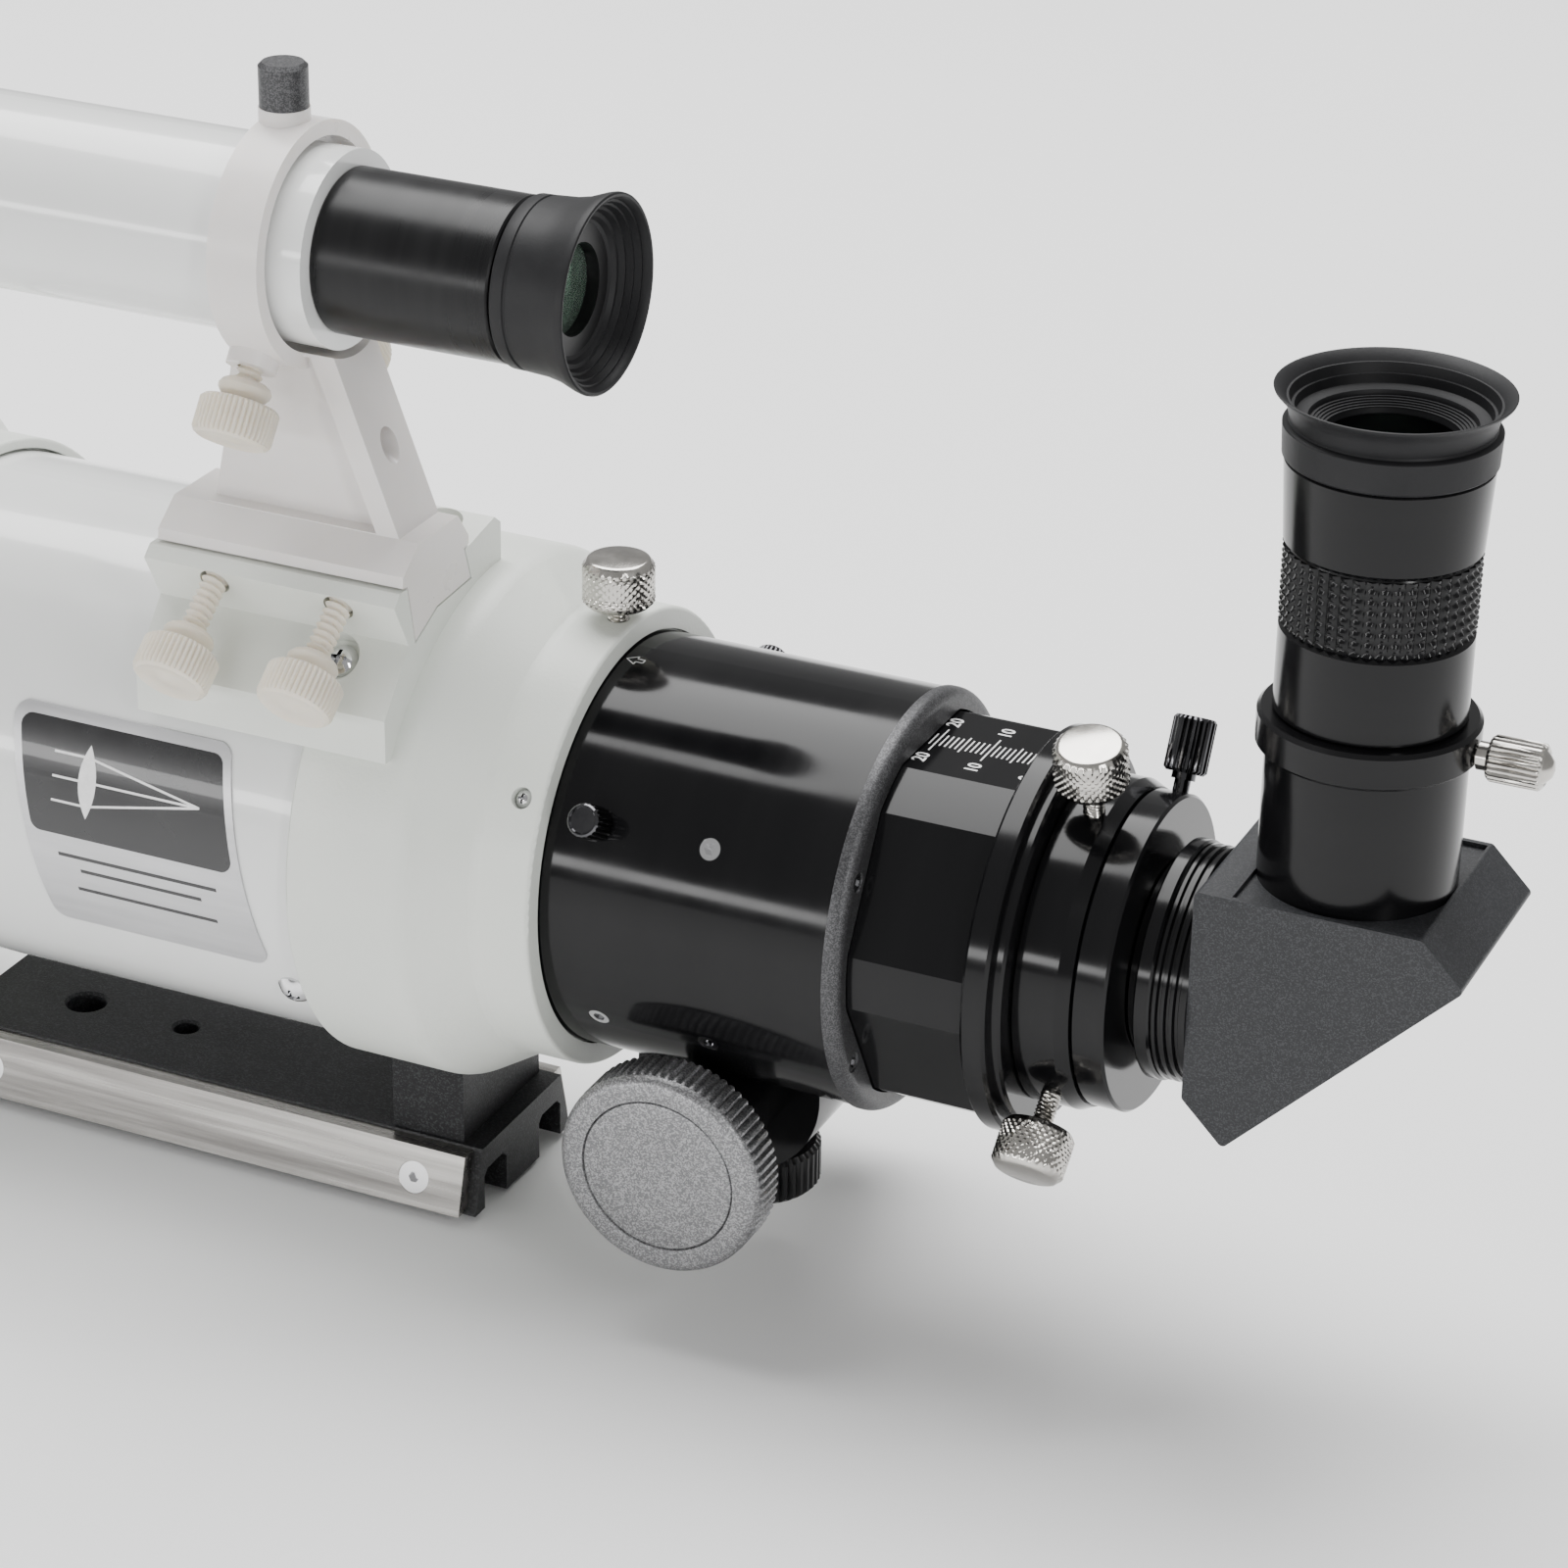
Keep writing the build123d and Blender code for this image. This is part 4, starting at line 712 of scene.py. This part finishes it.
cup = lathe("eyecup_piece", place(UP, EYE),
            [(CUP_LOW, 15.2), (CUP_LOW, 17.7), (CUP_LOW + 0.4, 18.1), (CUP_LOW + 5.6, 18.35),
             (CUP_LOW + 5.9, 18.1), (CUP_LOW + 6.1, 17.4), (CUP_LOW + 6.5, 17.2),
             (CUP_TOP - 3.4, 17.7), (CUP_TOP - 2.0, 18.5), (CUP_TOP - 1.0, 19.5),
             (CUP_TOP - 0.4, 20.05), (CUP_TOP - 0.1, 20.15), (CUP_TOP, 19.95),
             (CUP_TOP - 0.25, 19.4), (CUP_TOP - 1.2, 18.3), (CUP_TOP - 1.7, 17.9),
             (CUP_TOP - 1.7, 17.5), (CUP_TOP - 3.4, 17.0), (CUP_TOP - 3.4, 16.5),
             (CUP_TOP - 5.0, 16.2), (CUP_TOP - 5.4, 15.2), (CUP_TOP - 5.4, 14.2), *inside,
             (CUP_LOW + 3.7, 11.0), (CUP_LOW + 3.5, 11.0), (CUP_LOW + 3.5, 15.2)],
            MAT["rubber"], "eyepiece", (), 128)
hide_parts("eyepiece_eyecup")

# ---------------------------------------------------------------- nameplate
PLATE_MID = 86.2         # angle of the plate's middle


def plate_piece(name, points, height, mat, rows=24):
    """Thin patch laid on the tube: points are (x, arc) corners in mm, arc upwards from the
    plate's middle, with rounded corners already in the outline."""
    mesh = bpy.data.meshes.new(name)
    bm = bmesh.new()
    radius = TUBE_FACE_R + height
    face = bm.faces.new([bm.verts.new((x, y, 0)) for x, y in points])
    bmesh.ops.triangulate(bm, faces=[face])
    low = min(p[1] for p in points)
    high = max(p[1] for p in points)
    for k in range(1, rows):
        level = low + (high - low) * k / rows
        bmesh.ops.bisect_plane(bm, geom=bm.verts[:] + bm.edges[:] + bm.faces[:],
                               plane_co=(0, level, 0), plane_no=(0, 1, 0))
    for v in bm.verts:
        angle = PLATE_MID - math.degrees(v.co.y / TUBE_FACE_R)
        spot = station(v.co.x * MM) + outward(angle) * radius * MM
        v.co = spot
    extruded = bmesh.ops.extrude_face_region(bm, geom=bm.faces[:])
    for v in [g for g in extruded["geom"] if isinstance(g, bmesh.types.BMVert)]:
        radial = Vector((0, v.co.y, v.co.z - AXIS_Z)).normalized()
        v.co -= radial * 0.06 * MM
    bmesh.ops.recalc_face_normals(bm, faces=bm.faces)
    bm.to_mesh(mesh)
    bm.free()
    return keep(name, mesh, Matrix.Identity(4), mat, "optical_tube", 40)


def rounded(corners, radius, steps=6):
    """Outline with its corners rounded."""
    points = []
    count = len(corners)
    for i in range(count):
        here = Vector(corners[i])
        to_prev = (Vector(corners[i - 1]) - here).normalized()
        to_next = (Vector(corners[(i + 1) % count]) - here).normalized()
        opening = to_prev.angle(to_next)
        reach = radius / math.tan(opening / 2)
        centre = here + (to_prev + to_next).normalized() * radius / math.sin(opening / 2)
        start = here + to_prev * reach - centre
        end = here + to_next * reach - centre
        for k in range(steps + 1):
            t = k / steps
            spoke = (start * (1 - t) + end * t).normalized() * radius
            points.append(tuple(centre + spoke))
    return points


PLATE_LEAN = (25.0 - 33.5) / 42.6


def plate_quad(left, right, low, high):
    """Slanted quadrilateral in the plate's own lean: left and right at mid height."""
    return [(left + PLATE_LEAN * low, low), (right + PLATE_LEAN * low, low),
            (right + PLATE_LEAN * high, high), (left + PLATE_LEAN * high, high)]


MAT["plate_silver"] = finish("plate_silver", (0.50, 0.50, 0.51), (0.60, 0.60, 0.61), (0.3, 0.42),
                             0.7, grain=2600, grain_strength=0.1, grain_depth=0.00004,
                             cloud=300, stretch=(0.1, 1, 1))
dress(NODES["nameplate"], MAT["plate_silver"])
plate_piece("plate_panel", rounded(plate_quad(-15.6, 27.6, -2.2, 19.6), 2.2), 0.44,
            MAT["panel_black"])
# generic picture in place of lettering: a lens and the rays that meet at its focus
for index, height in enumerate((-4.6, 0.0, 4.6)):
    start = (-11.0, 9.0 + height)
    lens_hit = (-3.5, 9.0 + height)
    focus = (20.5, 9.0)
    for part, (a, b) in enumerate(((start, lens_hit), (lens_hit, focus))):
        run = Vector((b[0] - a[0], b[1] - a[1])).normalized()
        off = Vector((-run.y, run.x)) * 0.22
        quad = [(a[0] + off.x, a[1] + off.y), (a[0] - off.x, a[1] - off.y),
                (b[0] - off.x, b[1] - off.y), (b[0] + off.x, b[1] + off.y)]
        plate_piece("plate_ray_%d_%d" % (index, part), quad, 0.49, MAT["paint_white"], 6)
lens_outline = []
for k in range(13):
    t = -1 + k / 6
    lens_outline.append((-3.5 + 1.9 * (1 - t * t), 9.0 + 7.0 * t))
for k in range(1, 12):
    t = 1 - k / 6
    lens_outline.append((-3.5 - 1.9 * (1 - t * t), 9.0 + 7.0 * t))
plate_piece("plate_lens", lens_outline, 0.50, MAT["paint_white"], 10)
for index, (low, left, right) in enumerate(((-6.6, -11.0, 23.0), (-9.4, -7.0, 19.0),
                                            (-13.6, -9.0, 21.0))):
    plate_piece("plate_rule_%d" % index, plate_quad(left, right, low, low + 0.7), 0.44,
                MAT["panel_black"], 2)

# ---------------------------------------------------------------- rotation mark on the focuser
BODY_R = 39.1
MARK_RISE = 0.06         # the mark's print stands this much proud
MARK_ANGLE = 8
MARK_LINES = (((-1.8, 0), (0.2, 1.3)), ((-1.8, 0), (0.2, -1.3)), ((0.2, 1.3), (0.2, 0.5)),
              ((0.2, -1.3), (0.2, -0.5)), ((0.2, 0.5), (1.7, 0.5)), ((0.2, -0.5), (1.7, -0.5)),
              ((1.7, 0.5), (1.7, -0.5)))
mark_mesh = bpy.data.meshes.new("rotation_mark")
bm = bmesh.new()
MARK_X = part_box("rear_adapter")[1].x / MM + 2.6
for (xa, ya), (xb, yb) in MARK_LINES:
    run = Vector((xb - xa, yb - ya)).normalized()
    off = Vector((-run.y, run.x)) * 0.12
    verts = []
    for x, arc in ((xa + off.x, ya + off.y), (xa - off.x, ya - off.y), (xb - off.x, yb - off.y),
                   (xb + off.x, yb + off.y)):
        angle = MARK_ANGLE + math.degrees(arc / BODY_R)
        verts.append(bm.verts.new(station((MARK_X + x) * MM)
                                  + outward(angle) * (BODY_R + MARK_RISE) * MM))
    bm.faces.new(verts)
bmesh.ops.solidify(bm, geom=bm.faces[:], thickness=0.05 * MM)
bmesh.ops.recalc_face_normals(bm, faces=bm.faces)
bm.to_mesh(mark_mesh)
bm.free()
keep("rotation_mark", mark_mesh, Matrix.Identity(4), MAT["paint_white"], "focuser",
     0)

# ---------------------------------------------------------------- rounded edges on CAD nodes
for node_name, width in BEVELS.items():
    soften(NODES[node_name], width)

# ---------------------------------------------------------------- floor, light and camera


def stage_plane(name, size, z, colour):
    """Pale floor."""
    mesh = bpy.data.meshes.new(name)
    mesh.from_pydata([(-size, -size, z), (size, -size, z), (size, size, z), (-size, size, z)], [],
                     [(0, 1, 2, 3)])
    obj = bpy.data.objects.new(name, mesh)
    bpy.context.scene.collection.objects.link(obj)
    mat = finish(name + "_finish", tuple(0.97 * c for c in colour), colour, (0.8, 0.9), cloud=2)
    mesh.materials.append(mat)


stage_plane("floor", 8.0, -0.001, (0.93, 0.93, 0.93))

world = bpy.data.worlds.new("studio")
bpy.context.scene.world = world
world.use_nodes = True
world.node_tree.nodes["Background"].inputs["Color"].default_value = (1, 1, 1, 1)
world.node_tree.nodes["Background"].inputs["Strength"].default_value = 0.4


def softbox(name, location, target, width, height, power, colour=(1, 1, 1)):
    """Rectangular area light aimed at a point."""
    data = bpy.data.lights.new(name, "AREA")
    data.shape = "RECTANGLE"
    data.size = width
    data.size_y = height
    data.energy = power
    data.color = colour
    obj = bpy.data.objects.new(name, data)
    bpy.context.scene.collection.objects.link(obj)
    obj.location = location
    obj.rotation_mode = "QUATERNION"
    obj.rotation_quaternion = (Vector(target) - Vector(location)).to_track_quat("-Z", "Y")


FOCUS = (0.1, 0, 0.1)
softbox("overhead", (-0.3, 0.5, 1.7), FOCUS, 2.0, 1.4, 74)
softbox("strip", (-0.7, -2.1, 0.36), (0.05, 0, 0.12), 3.6, 0.2, 26)
softbox("fill", (1.3, -0.9, 0.7), FOCUS, 0.2, 0.9, 8)

camera_data = bpy.data.cameras.new("camera")
camera = bpy.data.objects.new("camera", camera_data)
bpy.context.scene.collection.objects.link(camera)
bpy.context.scene.camera = camera
AZIMUTH, ELEVATION, ROLL = (math.radians(v) for v in (23.802, 26.084, 1.285))
look = Vector((-math.sin(AZIMUTH) * math.cos(ELEVATION), math.cos(AZIMUTH) * math.cos(ELEVATION),
               -math.sin(ELEVATION)))
level = Vector((math.cos(AZIMUTH), math.sin(AZIMUTH), 0))
rise = level.cross(look)
right = level * math.cos(ROLL) + rise * math.sin(ROLL)
top = rise * math.cos(ROLL) - level * math.sin(ROLL)
camera.matrix_world = (Matrix.Translation((0.420406, -0.671671, 0.454457))
                       @ Matrix((right, top, -look)).transposed().to_4x4())
camera_data.sensor_width = 36
camera_data.lens = 103.03
camera_data.shift_x = -0.0265
camera_data.shift_y = 0.0115
camera_data.clip_start = 0.01
camera_data.clip_end = 60
